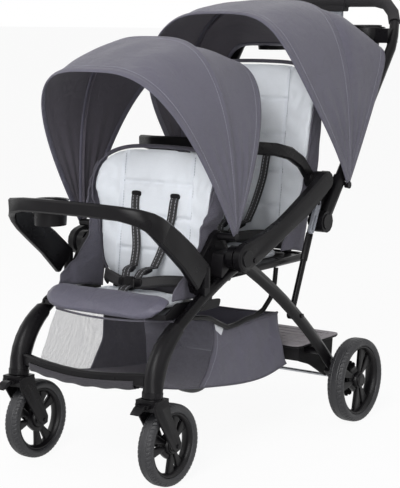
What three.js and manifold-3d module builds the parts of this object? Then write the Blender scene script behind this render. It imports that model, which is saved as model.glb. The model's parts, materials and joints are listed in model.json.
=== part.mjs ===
// Sit and stand stroller: two seats in line on a folding steel frame, with a standing platform behind.
// Millimetres, +Z up. The child faces -Y, and +X is the child's left.
// Places are measured from the front axle line: x from the middle plane, y rearwards, z from the ground.
import * as THREE from "three";
import { mergeVertices } from "three/addons/utils/BufferGeometryUtils.js";
import Module from "manifold-3d";

const wasm = await Module();
wasm.setup();

// Driving dimensions
const FRONT_WHEEL_RADIUS = 90;
const REAR_WHEEL_RADIUS = 104;
const WHEELBASE = 696;
const FRONT_TRACK_HALF = 188;
const REAR_TRACK_HALF = 247;
const FRONT_TYRE_WIDTH = 36;
const REAR_TYRE_WIDTH = 43;
const CASTER_TRAIL = 55;
const CASTER_SEAM_HEIGHT = 205;
const HUB = { y: 215, z: 470 };
const FOLD_PIVOT = { y: 560, z: 612 };
const LOWER_PIVOT = { y: 562, z: 513 };
const STRUT_FOOT = { y: 484, z: 296 };
const GRIP = { y: 980, z: 1033 };
// How far the handle's sides stand outside the front legs, and the seats inside them
const HANDLE_OUT = 40;
const SEAT_IN = 38;
const HANDLE_HALF_WIDTH = FRONT_TRACK_HALF + HANDLE_OUT;
// Steps sideways from the handle's sides to what is carried beside them
const BESIDE = {
  legIn: 15,
  footIn: 36,
  barIn: 32,
  capEnd: 40,
  armIn: 4,
  armOut: 19,
  earIn: 18,
  strutIn: 27,
  capIn: 16,
  capOut: 14,
  stubFrom: 21.4,
  stubTo: 25,
  canopy: 24,
};
const SEAT_HALF_WIDTH = FRONT_TRACK_HALF - SEAT_IN;
const FRONT_SEAT_BACK = { y: 214, z: 375, height: 322, leanAngle: 7, channelCount: 4 };
const REAR_SEAT_BACK = { y: 590, z: 436, height: 446, leanAngle: 7.5, channelCount: 5 };

// Clearances shared by all pieces
const SEAT_GAP = 0.3;
const RUN_GAP = 0.8;
const SIDE_GAP = 1.4;
const CUT_OVERRUN = 3;
const WELD = 1e-4;
const MERGE_DISTANCE = 0.05;
// How far joined shapes of one piece reach into each other
const SINK = 1;
const DEEP_SINK = 2;
const FINE_EDGE = 1;
const SOFT_EDGE = 2;
const CORNER_SHARE = 0.45;
const TUBE_GAP = 0.45;

// Counts of faces
const ROUND = 12;
const TUBE_SIDES = 10;
const PIN_SIDES = 8;
const WHEEL_STEPS = 22;
const CUP_STEPS = 16;
const LEG_STEPS = 8;
const HOUSING_STATION_STEPS = 7;
const CROSSBAR_STEPS = 12;
const REAR_LEG_STEPS = 10;
const ARM_STEPS = 7;
const EAR_OUTLINE_ROUND_STEPS = 6;
const BACK_STEPS = 6;
const BACK_PAD_STEPS = 8;
const PAD_STEPS = 8;
const RAIL_TUBE_SIDES = 10;
const REAR_SEAT_BEND_STEPS = 3;
const RAIL_SIDES = 8;
const RAIL_STEPS = 12;
const FRONT_TRAY_STEPS = 18;
const BELLY_STEPS = 14;
const STRAP_STEPS = 4;
const CLOTH_STEPS = 18;
const CLOTH_ROW_STEPS = 3;
const CALF_STEPS = 12;
const CALF_ROW_STEPS = 7;
const WHEEL_WINDOW_STEPS = 3;
const ARC_STEPS = 5;
const HALF_TURN = 180;
const QUARTER_TURN = 90;

const degrees = THREE.MathUtils.degToRad;
const at = (x, y, z) => new THREE.Vector3(x, y, z);
const AXES = { x: at(1, 0, 0), y: at(0, 1, 0), z: at(0, 0, 1) };

// Solids from geometries, joins and cuts

function solid(geometry) {
  const bare = new THREE.BufferGeometry();
  bare.setAttribute("position", geometry.getAttribute("position").clone());
  if (geometry.index) bare.setIndex(geometry.index.clone());
  const merged = mergeVertices(bare, WELD);
  const corners = merged.index.array;
  const kept = [];
  for (let i = 0; i < corners.length; i += 3) {
    const [a, b, c] = [corners[i], corners[i + 1], corners[i + 2]];
    if (a !== b && b !== c && a !== c) kept.push(a, b, c);
  }
  return indexed(merged.attributes.position.array, kept);
}

// A body from corners and faces that already close.
function indexed(positions, index) {
  const make = (faces) =>
    new wasm.Manifold(
      new wasm.Mesh({
        numProp: 3,
        vertProperties: new Float32Array(positions),
        triVerts: new Uint32Array(faces),
      }),
    );
  const body = make(index);
  if (body.volume() > 0) return body;
  const turned = [];
  for (let i = 0; i < index.length; i += 3) turned.push(index[i], index[i + 2], index[i + 1]);
  return make(turned);
}

// The same body turned, shifted or mirrored by a matrix.
function moved(body, matrix) {
  const mesh = body.getMesh();
  const positions = [];
  for (let i = 0; i < mesh.numVert; i += 1) {
    const from = i * mesh.numProp;
    const [x, y, z] = mesh.vertProperties.subarray(from, from + 3);
    positions.push(...at(x, y, z).applyMatrix4(matrix));
  }
  return indexed(positions, mesh.triVerts);
}

const shifted = (body, x, y, z) => moved(body, new THREE.Matrix4().makeTranslation(x, y, z));
const mirroredX = (body) => moved(body, new THREE.Matrix4().makeScale(-1, 1, 1));

const join = (...bodies) => bodies.flat().reduce((whole, next) => whole.add(next));
const cut = (body, ...tools) => tools.flat().reduce((rest, tool) => rest.subtract(tool), body);

function geometryOf(body) {
  const mesh = body.getMesh();
  const positions = new Float32Array(mesh.numVert * 3);
  for (let i = 0; i < mesh.numVert; i += 1) {
    const from = i * mesh.numProp;
    positions.set(mesh.vertProperties.subarray(from, from + 3), i * 3);
  }
  const geometry = new THREE.BufferGeometry();
  geometry.setAttribute("position", new THREE.BufferAttribute(positions, 3));
  geometry.setIndex(new THREE.BufferAttribute(new Uint32Array(mesh.triVerts), 1));
  geometry.computeVertexNormals();
  return geometry;
}

// Basic forms

// A cylinder between two x values, about a line parallel to X.
function pinX(xFrom, xTo, y, z, radius, sides = ROUND) {
  const geometry = new THREE.CylinderGeometry(radius, radius, Math.abs(xTo - xFrom), sides);
  geometry.rotateZ(Math.PI / 2);
  geometry.translate((xFrom + xTo) / 2, y, z);
  return solid(geometry);
}

// A cylinder or cone between two heights, about an upright line.
function pinZ(x, y, zFrom, zTo, radiusLow, radiusHigh = radiusLow, sides = ROUND) {
  const geometry = new THREE.CylinderGeometry(radiusHigh, radiusLow, zTo - zFrom, sides);
  geometry.rotateX(Math.PI / 2);
  geometry.translate(x, y, (zFrom + zTo) / 2);
  return solid(geometry);
}

function block(xFrom, xTo, yFrom, yTo, zFrom, zTo) {
  const geometry = new THREE.BoxGeometry(Math.abs(xTo - xFrom), yTo - yFrom, zTo - zFrom);
  geometry.translate((xFrom + xTo) / 2, (yFrom + yTo) / 2, (zFrom + zTo) / 2);
  return solid(geometry);
}

// A closed outline through the points, with each corner rounded.
function rounded(points, radius) {
  const shape = new THREE.Shape();
  points.forEach(([u, v], i) => {
    const before = points[(i + points.length - 1) % points.length];
    const after = points[(i + 1) % points.length];
    const toward = (other) => {
      const length = Math.hypot(other[0] - u, other[1] - v);
      const share = Math.min(radius / length, CORNER_SHARE);
      return [u + (other[0] - u) * share, v + (other[1] - v) * share];
    };
    const start = toward(before);
    const end = toward(after);
    if (i === 0) shape.moveTo(...start);
    else shape.lineTo(...start);
    shape.quadraticCurveTo(u, v, ...end);
  });
  shape.closePath();
  return shape;
}

// An outline made solid between two levels along its third axis. Its edges may be chamfered.
function prism(shape, low, high, edge, cornerSteps) {
  const outlines = shape.extractPoints(cornerSteps);
  const contours = [outlines.shape, ...outlines.holes].map((points, i) => {
    const kept = points.filter((p, k) => p.distanceTo(points[(k + 1) % points.length]) > MERGE_DISTANCE);
    const wanted = i === 0;
    return THREE.ShapeUtils.isClockWise(kept) === wanted ? kept.reverse() : kept;
  });
  const inward = (points) =>
    points.map((p, i) => {
      const before = points[(i + points.length - 1) % points.length];
      const after = points[(i + 1) % points.length];
      const first = new THREE.Vector2(before.y - p.y, p.x - before.x).normalize();
      const second = new THREE.Vector2(p.y - after.y, after.x - p.x).normalize();
      const both = first.add(second);
      return p.clone().addScaledVector(both, (2 * edge) / Math.max(both.lengthSq(), 1));
    });
  const flat = contours.flat();
  const inset = edge > 0 ? contours.flatMap(inward) : flat;
  const levels = edge > 0 ? [low, low + edge, high - edge, high] : [low, high];
  const positions = levels.flatMap((level, i) => {
    const drawn = edge > 0 && (i === 0 || i === levels.length - 1) ? inset : flat;
    return drawn.flatMap((p) => [p.x, p.y, level]);
  });
  const index = [];
  const count = flat.length;
  let start = 0;
  for (const points of contours) {
    for (let i = 0; i < points.length; i += 1) {
      const a = start + i;
      const b = start + ((i + 1) % points.length);
      for (let k = 0; k + 1 < levels.length; k += 1) {
        const [low0, low1] = [k * count + a, k * count + b];
        index.push(low0, low1, low1 + count, low0, low1 + count, low0 + count);
      }
    }
    start += points.length;
  }
  const top = (levels.length - 1) * count;
  for (const [a, b, c] of THREE.ShapeUtils.triangulateShape(contours[0], contours.slice(1))) {
    index.push(a, c, b, top + a, top + b, top + c);
  }
  return indexed(positions, index);
}

// An outline in y and z, made solid between two x values.
function plateX(shape, xFrom, xTo, edge = 0, cornerSteps = 2) {
  const body = prism(shape, Math.min(xFrom, xTo), Math.max(xFrom, xTo), edge, cornerSteps);
  return moved(body, new THREE.Matrix4().makeBasis(AXES.y, AXES.z, AXES.x));
}

// An outline in x and y, made solid between two heights.
function plateZ(shape, zFrom, zTo, edge = 0, cornerSteps = 2) {
  return prism(shape, zFrom, zTo, edge, cornerSteps);
}

function ovalShape(halfWidth, halfHeight, sides = TUBE_SIDES) {
  const points = [];
  for (let i = 0; i < sides; i += 1) {
    const turn = ((2 * i + 1) / sides) * Math.PI;
    points.push(new THREE.Vector2(halfWidth * Math.cos(turn), halfHeight * Math.sin(turn)));
  }
  return new THREE.Shape(points);
}

// A tube of constant section along a curve.
function tube(curve, shape, steps) {
  return solid(new THREE.ExtrudeGeometry(shape, { steps, extrudePath: curve, bevelEnabled: false }));
}

// A curve in one upright plane between two places, raised in its middle by a rise square to its chord.
function bowed(x, from, to, rise) {
  const chord = Math.hypot(to.y - from.y, to.z - from.z);
  const lift = (2 * rise) / chord;
  const middle = at(
    x,
    (from.y + to.y) / 2 - (to.z - from.z) * lift,
    (from.z + to.z) / 2 + (to.y - from.y) * lift,
  );
  return new THREE.QuadraticBezierCurve3(at(x, from.y, from.z), middle, at(x, to.y, to.z));
}

// A body through rings of points, closed by a flat fan at each end.
function loft(rings) {
  const count = rings[0].length;
  const positions = rings.flat().flatMap((p) => [p.x, p.y, p.z]);
  const index = [];
  for (let r = 0; r + 1 < rings.length; r += 1) {
    for (let i = 0; i < count; i += 1) {
      const next = (i + 1) % count;
      const [a, b] = [r * count + i, r * count + next];
      index.push(a, b, b + count, a, b + count, a + count);
    }
  }
  const last = (rings.length - 1) * count;
  for (let i = 1; i + 1 < count; i += 1) {
    index.push(0, i + 1, i);
    index.push(last, last + i, last + i + 1);
  }
  return indexed(positions, index);
}

// A body along a curve whose section may change. The section's first measure lies along `side`.
function sweep(curve, stations, side, sectionAt) {
  const rings = stations.map((share) => {
    const centre = curve.getPointAt(share);
    const along = curve.getTangentAt(share);
    const wide = side.clone().addScaledVector(along, -side.dot(along)).normalize();
    const high = new THREE.Vector3().crossVectors(along, wide);
    return sectionAt(share).map(([a, b]) =>
      centre.clone().addScaledVector(wide, a).addScaledVector(high, b),
    );
  });
  return loft(rings);
}

const evenShares = (count) => Array.from({ length: count + 1 }, (_, i) => i / count);

function ovalRing(halfWidth, halfHeight, sides = TUBE_SIDES) {
  return ovalShape(halfWidth, halfHeight, sides)
    .getPoints(1)
    .slice(0, sides)
    .map((p) => [p.x, p.y]);
}

// A rectangular ring with chamfered corners.
function barRing(halfWidth, halfHeight, chamfer) {
  const [w, h, c] = [halfWidth, halfHeight, chamfer];
  return [
    [w - c, -h],
    [w, -h + c],
    [w, h - c],
    [w - c, h],
    [-w + c, h],
    [-w, h - c],
    [-w, -h + c],
    [-w + c, -h],
  ];
}

// A closed skin between two surfaces given on the same grid, u across and v along.
function skin(frontAt, backAt, columns, rows) {
  const positions = [];
  const index = [];
  const width = columns + 1;
  for (const surface of [frontAt, backAt]) {
    for (let r = 0; r <= rows; r += 1) {
      for (let c = 0; c <= columns; c += 1) {
        const p = surface(c / columns, r / rows);
        positions.push(p.x, p.y, p.z);
      }
    }
  }
  const back = width * (rows + 1);
  const spot = (r, c) => r * width + c;
  for (let r = 0; r < rows; r += 1) {
    for (let c = 0; c < columns; c += 1) {
      const [a, b, d, e] = [spot(r, c), spot(r, c + 1), spot(r + 1, c), spot(r + 1, c + 1)];
      index.push(a, b, e, a, e, d);
      index.push(back + a, back + e, back + b, back + a, back + d, back + e);
    }
  }
  const edge = [];
  for (let c = 0; c < columns; c += 1) edge.push(spot(0, c));
  for (let r = 0; r < rows; r += 1) edge.push(spot(r, columns));
  for (let c = columns; c > 0; c -= 1) edge.push(spot(rows, c));
  for (let r = rows; r > 0; r -= 1) edge.push(spot(r, 0));
  edge.forEach((a, i) => {
    const b = edge[(i + 1) % edge.length];
    index.push(a, back + a, back + b, a, back + b, b);
  });
  return indexed(positions, index);
}

// A ring turned about a line parallel to X, from pairs of radius and distance along X.
function turnedX(profile, x, y, z, steps = WHEEL_STEPS) {
  const points = profile.map(([radius, along]) => new THREE.Vector2(radius, along));
  points.push(points[0].clone());
  const geometry = new THREE.LatheGeometry(points, steps);
  geometry.rotateZ(-Math.PI / 2);
  geometry.translate(x, y, z);
  return solid(geometry);
}

// Materials
const FINISHES = {
  frame: { color: 0x1b1a1c, roughness: 0.38, metalness: 0.6 },
  moulding: { color: 0x1d1c1e, roughness: 0.55, metalness: 0 },
  foam: { color: 0x262428, roughness: 0.9, metalness: 0 },
  rubber: { color: 0x323234, roughness: 0.85, metalness: 0 },
  rim: { color: 0x1a191b, roughness: 0.5, metalness: 0 },
  steel: { color: 0xa4a6aa, roughness: 0.35, metalness: 1 },
  latch: { color: 0x8c8f96, roughness: 0.5, metalness: 0 },
  platform: { color: 0x747073, roughness: 0.8, metalness: 0 },
  cloth: { color: 0x696771, roughness: 0.9, metalness: 0 },
  darkCloth: { color: 0x4a4850, roughness: 0.9, metalness: 0 },
  quilt: { color: 0xd7dade, roughness: 0.85, metalness: 0 },
  webbing: { color: 0x18171a, roughness: 0.8, metalness: 0 },
};

const stroller = new THREE.Group();
stroller.name = "sit_and_stand_stroller";

function piece(name, finish, body) {
  const mesh = new THREE.Mesh(geometryOf(body), new THREE.MeshStandardMaterial(FINISHES[finish]));
  mesh.name = name;
  stroller.add(mesh);
}

const SIDES = [
  { name: "left", s: 1 },
  { name: "right", s: -1 },
];

// Wheels
const FRONT_AXLE = { y: 0, z: FRONT_WHEEL_RADIUS };
const REAR_AXLE = { y: WHEELBASE, z: REAR_WHEEL_RADIUS };
const WHEEL = {
  tyreDepth: 19,
  seatWidthShare: 0.8,
  rimWidthShare: 0.74,
  rimThickness: 8,
  webThickness: 11,
  hubRadius: 21,
  capRadius: 17,
  spokeHalfAngle: 22,
  slotHalfAngle: 7,
  slotInset: 9,
  windowCorner: 5,
  boreRadius: 5.2,
  discRadius: 44,
  discThickness: 5,
  discToothCount: 14,
  toothDepth: 4,
  barrelShare: 0.6,
  spokeCount: 3,
  firstSpokeAngle: 90,
  axleEndShare: 0.32,
  // Half sections of a tyre: how deep from its seat, and how wide, as shares
  tyreShares: [
    { deep: 0, wide: 0.8 },
    { deep: 0.34, wide: 1 },
    { deep: 0.82, wide: 0.86 },
    { deep: 1, wide: 0.4 },
  ],
};

function tyre(radius, width, x, y, z) {
  const inner = radius - WHEEL.tyreDepth;
  const half = width / 2;
  const depth = WHEEL.tyreDepth;
  const right = WHEEL.tyreShares.map(({ deep, wide }) => [inner + deep * depth, wide * half]);
  const left = WHEEL.tyreShares.map(({ deep, wide }) => [inner + deep * depth, -wide * half]).reverse();
  return turnedX([...left, ...right].reverse(), x, y, z);
}

// The sector of a ring between two radii, as the outline of a window or a slot.
function sector(outer, inner, middle, halfAngle, steps = WHEEL_WINDOW_STEPS) {
  const points = [];
  for (let i = 0; i <= steps; i += 1) {
    const turn = degrees(middle - halfAngle + (2 * halfAngle * i) / steps);
    points.push(new THREE.Vector2(outer * Math.cos(turn), outer * Math.sin(turn)));
  }
  for (let i = steps; i >= 0; i -= 1) {
    const turn = degrees(middle - halfAngle + (2 * halfAngle * i) / steps);
    points.push(new THREE.Vector2(inner * Math.cos(turn), inner * Math.sin(turn)));
  }
  return points;
}

// A moulded rim: barrel, three broad slotted spokes, hub and its outer cap.
function rim(radius, width, x, y, z, outward) {
  const outer = radius - WHEEL.tyreDepth - SEAT_GAP;
  const half = (width * WHEEL.rimWidthShare) / 2;
  const inner = outer - WHEEL.rimThickness;
  const barrel = turnedX(
    [
      [outer, -half],
      [inner, -half * WHEEL.barrelShare],
      [inner, half * WHEEL.barrelShare],
      [outer, half],
    ].reverse(),
    x,
    y,
    z,
  );
  const web = new THREE.Shape();
  web.absarc(0, 0, inner + WHEEL.rimThickness / 2, 0, 2 * Math.PI);
  const halfPitch = HALF_TURN / WHEEL.spokeCount;
  const open = halfPitch - WHEEL.spokeHalfAngle;
  const [windowOut, windowIn] = [inner - WHEEL.windowCorner, WHEEL.hubRadius + WHEEL.windowCorner];
  const [slotOut, slotIn] = [inner - WHEEL.slotInset, WHEEL.hubRadius + WHEEL.slotInset];
  for (let i = 0; i < WHEEL.spokeCount; i += 1) {
    const turn = WHEEL.firstSpokeAngle + 2 * halfPitch * i;
    web.holes.push(new THREE.Path(sector(windowOut, windowIn, turn + halfPitch, open)));
    web.holes.push(new THREE.Path(sector(slotOut, slotIn, turn, WHEEL.slotHalfAngle, 1)));
  }
  const webHalf = WHEEL.webThickness / 2;
  const flat = shifted(plateX(web, x - webHalf, x + webHalf, 0, WHEEL_STEPS / 2), 0, y, z);
  const hub = pinX(x - half, x + half, y, z, WHEEL.hubRadius);
  const cap = pinX(x, x + outward * (half + WHEEL.rimThickness / 2), y, z, WHEEL.capRadius);
  return { body: join(barrel, flat, hub, cap), half };
}

// Front casters: fork, lock lever and wheel, one set each side
const FORK = {
  armThickness: 6,
  armGap: 3.4,
  bossRadius: 15,
  collarRadius: 24,
  flareRadius: 28,
  collarHeight: 24,
  bridgeFront: 26,
  bridgeBack: 25,
  armFoot: 9,
  stemRadius: 7,
  stemHeight: 30,
  edge: 1.5,
  screwRadius: 5,
  screwHeight: 2.5,
};
const SWIVEL_Y = FRONT_AXLE.y - CASTER_TRAIL;
const FORK_TOP = CASTER_SEAM_HEIGHT - RUN_GAP;
const LOCK_LEVER = {
  halfWidth: 11,
  length: 30,
  thickness: 8,
  drop: 10,
  pivotRadius: 3,
  boreGap: 0.5,
  lug: 3,
};
const LEVER_PIVOT = {
  y: SWIVEL_Y - FORK.flareRadius - LOCK_LEVER.pivotRadius - LOCK_LEVER.lug,
  z: FORK_TOP - FORK.collarHeight / 2,
};

for (const { name, s } of SIDES) {
  const x = s * FRONT_TRACK_HALF;
  const armIn = FRONT_TYRE_WIDTH / 2 + FORK.armGap;
  const armOut = armIn + FORK.armThickness;
  const bridgeLow = FORK_TOP - FORK.collarHeight;
  const side = rounded(
    [
      [SWIVEL_Y - FORK.bridgeFront, FORK_TOP - FORK.edge],
      [SWIVEL_Y - FORK.bridgeFront, bridgeLow],
      [FRONT_AXLE.y - FORK.bossRadius, FRONT_AXLE.z - FORK.armFoot],
      [FRONT_AXLE.y + FORK.armFoot / 2, FRONT_AXLE.z - FORK.bossRadius],
      [FRONT_AXLE.y + FORK.bossRadius, FRONT_AXLE.z],
      [FRONT_AXLE.y + FORK.armFoot, FRONT_AXLE.z + FORK.bossRadius],
      [SWIVEL_Y + FORK.bridgeBack, bridgeLow],
      [SWIVEL_Y + FORK.bridgeBack, FORK_TOP - FORK.edge],
    ],
    FORK.armFoot,
  );
  const arms = [-1, 1].map((t) => plateX(side, x + t * armIn, x + t * armOut, FORK.edge, 1));
  const bridge = block(
    x - armOut + FORK.edge,
    x + armOut - FORK.edge,
    SWIVEL_Y - FORK.bridgeFront + FORK.edge,
    SWIVEL_Y + FORK.bridgeBack - FORK.edge,
    bridgeLow,
    FORK_TOP - FORK.edge,
  );
  const collar = pinZ(x, SWIVEL_Y, bridgeLow, FORK_TOP, FORK.flareRadius, FORK.collarRadius);
  const stem = pinZ(x, SWIVEL_Y, bridgeLow, FORK_TOP + FORK.stemHeight, FORK.stemRadius);
  const onAxle = (xFrom, xTo, radius) => pinX(xFrom, xTo, FRONT_AXLE.y, FRONT_AXLE.z, radius, PIN_SIDES);
  const axle = onAxle(x - armOut, x + armOut, WHEEL.boreRadius - RUN_GAP);
  const screws = [-1, 1].map((t) =>
    onAxle(x + t * armIn, x + t * (armOut + FORK.screwHeight), FORK.screwRadius),
  );
  const leverPin = pinX(
    x - LOCK_LEVER.halfWidth - LOCK_LEVER.lug,
    x + LOCK_LEVER.halfWidth + LOCK_LEVER.lug,
    LEVER_PIVOT.y,
    LEVER_PIVOT.z,
    LOCK_LEVER.pivotRadius,
    PIN_SIDES,
  );
  const lugs = [-1, 1].map((t) =>
    block(
      x + t * (LOCK_LEVER.halfWidth + RUN_GAP),
      x + t * (LOCK_LEVER.halfWidth + RUN_GAP + LOCK_LEVER.lug),
      LEVER_PIVOT.y - LOCK_LEVER.pivotRadius - LOCK_LEVER.boreGap,
      SWIVEL_Y - FORK.collarRadius + LOCK_LEVER.lug,
      LEVER_PIVOT.z - LOCK_LEVER.thickness / 2,
      LEVER_PIVOT.z + LOCK_LEVER.thickness / 2,
    ),
  );
  const fork = join(...arms, bridge, collar, stem, axle, ...screws, leverPin, ...lugs);
  piece(`${name}_caster_fork`, "moulding", fork);

  const leverSide = rounded(
    [
      [LEVER_PIVOT.y + LOCK_LEVER.thickness / 2, LEVER_PIVOT.z + LOCK_LEVER.thickness / 2],
      [LEVER_PIVOT.y + LOCK_LEVER.thickness / 2, LEVER_PIVOT.z - LOCK_LEVER.thickness / 2],
      [LEVER_PIVOT.y - LOCK_LEVER.length / 2, LEVER_PIVOT.z - LOCK_LEVER.thickness],
      [LEVER_PIVOT.y - LOCK_LEVER.length, LEVER_PIVOT.z - LOCK_LEVER.drop - LOCK_LEVER.thickness / 2],
      [LEVER_PIVOT.y - LOCK_LEVER.length, LEVER_PIVOT.z - LOCK_LEVER.drop],
      [LEVER_PIVOT.y - LOCK_LEVER.length / 2, LEVER_PIVOT.z + LOCK_LEVER.pivotRadius],
    ],
    LOCK_LEVER.pivotRadius,
  );
  const lever = plateX(leverSide, x - LOCK_LEVER.halfWidth, x + LOCK_LEVER.halfWidth, FINE_EDGE, 1);
  const leverBore = pinX(
    x - LOCK_LEVER.halfWidth - CUT_OVERRUN,
    x + LOCK_LEVER.halfWidth + CUT_OVERRUN,
    LEVER_PIVOT.y,
    LEVER_PIVOT.z,
    LOCK_LEVER.pivotRadius + LOCK_LEVER.boreGap,
    PIN_SIDES,
  );
  piece(`${name}_caster_lock_lever`, "moulding", cut(lever, leverBore));

  const frontTyre = tyre(FRONT_WHEEL_RADIUS, FRONT_TYRE_WIDTH, x, FRONT_AXLE.y, FRONT_AXLE.z);
  piece(`${name}_front_tyre`, "rubber", frontTyre);
  const front = rim(FRONT_WHEEL_RADIUS, FRONT_TYRE_WIDTH, x, FRONT_AXLE.y, FRONT_AXLE.z, s);
  const capped = FRONT_TYRE_WIDTH / 2 + FORK.armGap - RUN_GAP;
  const trimmed = cut(
    front.body,
    onAxle(x - armOut, x + armOut, WHEEL.boreRadius),
    block(
      x + s * capped,
      x + s * armOut * 2,
      -FRONT_WHEEL_RADIUS,
      FRONT_WHEEL_RADIUS,
      0,
      2 * FRONT_WHEEL_RADIUS,
    ),
  );
  piece(`${name}_front_rim`, "rim", trimmed);
}

// Rear wheels turn on the ends of one axle
const AXLE_RADIUS = WHEEL.boreRadius - RUN_GAP;
const AXLE_END = REAR_TRACK_HALF + REAR_TYRE_WIDTH * WHEEL.axleEndShare;
for (const { name, s } of SIDES) {
  const x = s * REAR_TRACK_HALF;
  const rearTyre = tyre(REAR_WHEEL_RADIUS, REAR_TYRE_WIDTH, x, REAR_AXLE.y, REAR_AXLE.z);
  piece(`${name}_rear_tyre`, "rubber", rearTyre);
  const rear = rim(REAR_WHEEL_RADIUS, REAR_TYRE_WIDTH, x, REAR_AXLE.y, REAR_AXLE.z, s);
  const teeth = new THREE.Shape();
  for (let i = 0; i < 2 * WHEEL.discToothCount; i += 1) {
    const turn = (i / WHEEL.discToothCount) * Math.PI;
    const reach = i % 2 ? WHEEL.discRadius - WHEEL.toothDepth : WHEEL.discRadius;
    const [u, v] = [reach * Math.cos(turn), reach * Math.sin(turn)];
    if (i === 0) teeth.moveTo(u, v);
    else teeth.lineTo(u, v);
  }
  teeth.closePath();
  const discOuter = x - s * (REAR_TYRE_WIDTH / 2 - WHEEL.discThickness);
  const discInner = discOuter - s * WHEEL.discThickness;
  const disc = shifted(plateX(teeth, discOuter, discInner), 0, REAR_AXLE.y, REAR_AXLE.z);
  const neck = pinX(x, discOuter - s * WHEEL.discThickness, REAR_AXLE.y, REAR_AXLE.z, WHEEL.hubRadius);
  const bore = pinX(
    x - s * REAR_TYRE_WIDTH,
    s * (AXLE_END + RUN_GAP),
    REAR_AXLE.y,
    REAR_AXLE.z,
    WHEEL.boreRadius,
    PIN_SIDES,
  );
  piece(`${name}_rear_rim`, "rim", cut(join(rear.body, disc, neck), bore));
}

// Front frame: leg tubes, caster housings and the moulded bar between them
const LEG = { x: FRONT_TRACK_HALF, radius: 14, bow: 10, insertion: 42 };
const ELBOW = { y: -5, z: 314 };
const LEG_TOP = { y: 264, z: 448 };
const HOUSING = {
  topRadius: 18.5,
  bellyRadius: 22,
  seamRadius: 23.5,
  seamLip: 7,
  frontBulge: 4,
  swellShare: 1.6,
  seamShare: 0.93,
};
const CROSSBAR = {
  z: 238,
  halfHeight: 14,
  halfThickness: 8,
  chamfer: 4,
  droop: 9,
  forward: 14,
  sideShare: 0.7,
  lugCount: 9,
  lug: 5,
};
const frontLegCurve = bowed(LEG.x, ELBOW, LEG_TOP, LEG.bow);
const legStart = frontLegCurve.getTangent(0);

function mirrored(body, s) {
  return s > 0 ? body : mirroredX(body);
}

const legTube = tube(frontLegCurve, ovalShape(LEG.radius, LEG.radius), LEG_STEPS);
const housingPath = new THREE.QuadraticBezierCurve3(
  at(LEG.x, ELBOW.y + legStart.y * LEG.insertion, ELBOW.z + legStart.z * LEG.insertion),
  at(LEG.x, SWIVEL_Y + LEG.radius / 2, ELBOW.z - LEG.insertion / 2),
  at(LEG.x, SWIVEL_Y, CASTER_SEAM_HEIGHT),
);
function housingSection(share) {
  const filled = Math.min(1, share * HOUSING.swellShare);
  const swell = THREE.MathUtils.lerp(HOUSING.topRadius, HOUSING.bellyRadius, filled);
  const radius = share > HOUSING.seamShare ? HOUSING.seamRadius : swell;
  return ovalRing(radius, radius + HOUSING.frontBulge * Math.sin(Math.PI * share), TUBE_SIDES);
}
const housingShares = [
  ...evenShares(HOUSING_STATION_STEPS).slice(0, -1).map((share) => share * HOUSING.seamShare),
  HOUSING.seamShare,
  HOUSING.seamShare + MERGE_DISTANCE / HOUSING.seamRadius,
  1,
];
const housingBody = cut(
  sweep(housingPath, housingShares, AXES.x, housingSection),
  tube(
    new THREE.LineCurve3(
      at(LEG.x, ELBOW.y, ELBOW.z).addScaledVector(legStart, -SEAT_GAP),
      at(LEG.x, ELBOW.y, ELBOW.z).addScaledVector(legStart, LEG.insertion * 2),
    ),
    ovalShape(LEG.radius + RUN_GAP, LEG.radius + RUN_GAP),
    1,
  ),
  tube(
    frontLegCurve,
    ovalShape(LEG.radius + SEAT_GAP, LEG.radius + SEAT_GAP),
    LEG_STEPS,
  ),
  pinZ(
    LEG.x,
    SWIVEL_Y,
    CASTER_SEAM_HEIGHT - CUT_OVERRUN,
    CASTER_SEAM_HEIGHT + FORK.stemHeight + CUT_OVERRUN,
    FORK.stemRadius + RUN_GAP,
  ),
  block(0, 2 * LEG.x, SWIVEL_Y - LEG.x, SWIVEL_Y + LEG.x, 0, CASTER_SEAM_HEIGHT),
);

const crossbarCurve = new THREE.CatmullRomCurve3([
  at(-LEG.x, SWIVEL_Y + HOUSING.frontBulge, CROSSBAR.z + CROSSBAR.droop / 2),
  at(-LEG.x / 2, SWIVEL_Y - CROSSBAR.forward * CROSSBAR.sideShare, CROSSBAR.z - CROSSBAR.droop / 2),
  at(0, SWIVEL_Y - CROSSBAR.forward, CROSSBAR.z - CROSSBAR.droop),
  at(LEG.x / 2, SWIVEL_Y - CROSSBAR.forward * CROSSBAR.sideShare, CROSSBAR.z - CROSSBAR.droop / 2),
  at(LEG.x, SWIVEL_Y + HOUSING.frontBulge, CROSSBAR.z + CROSSBAR.droop / 2),
]);
const crossbarBody = sweep(crossbarCurve, evenShares(CROSSBAR_STEPS), AXES.z, () =>
  barRing(CROSSBAR.halfHeight, CROSSBAR.halfThickness, CROSSBAR.chamfer),
);
const crossbarLugs = evenShares(CROSSBAR.lugCount + 1)
  .slice(1, -1)
  .map((share) => {
    const spot = crossbarCurve.getPointAt(share);
    return block(
      spot.x - CROSSBAR.lug / 2,
      spot.x + CROSSBAR.lug / 2,
      spot.y - CROSSBAR.lug / 2,
      spot.y + CROSSBAR.lug / 2,
      spot.z - CROSSBAR.halfHeight - CROSSBAR.lug,
      spot.z,
    );
  });
// The housing grown by the seat gap, which the crossbar's ends are cut to.
const housingRoom = join(
  sweep(housingPath, housingShares, AXES.x, (share) =>
    housingSection(share).map(([a, b]) => {
      const grow = 1 + (2 * SEAT_GAP) / HOUSING.topRadius;
      return [a * grow, b * grow];
    }),
  ),
);

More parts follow.
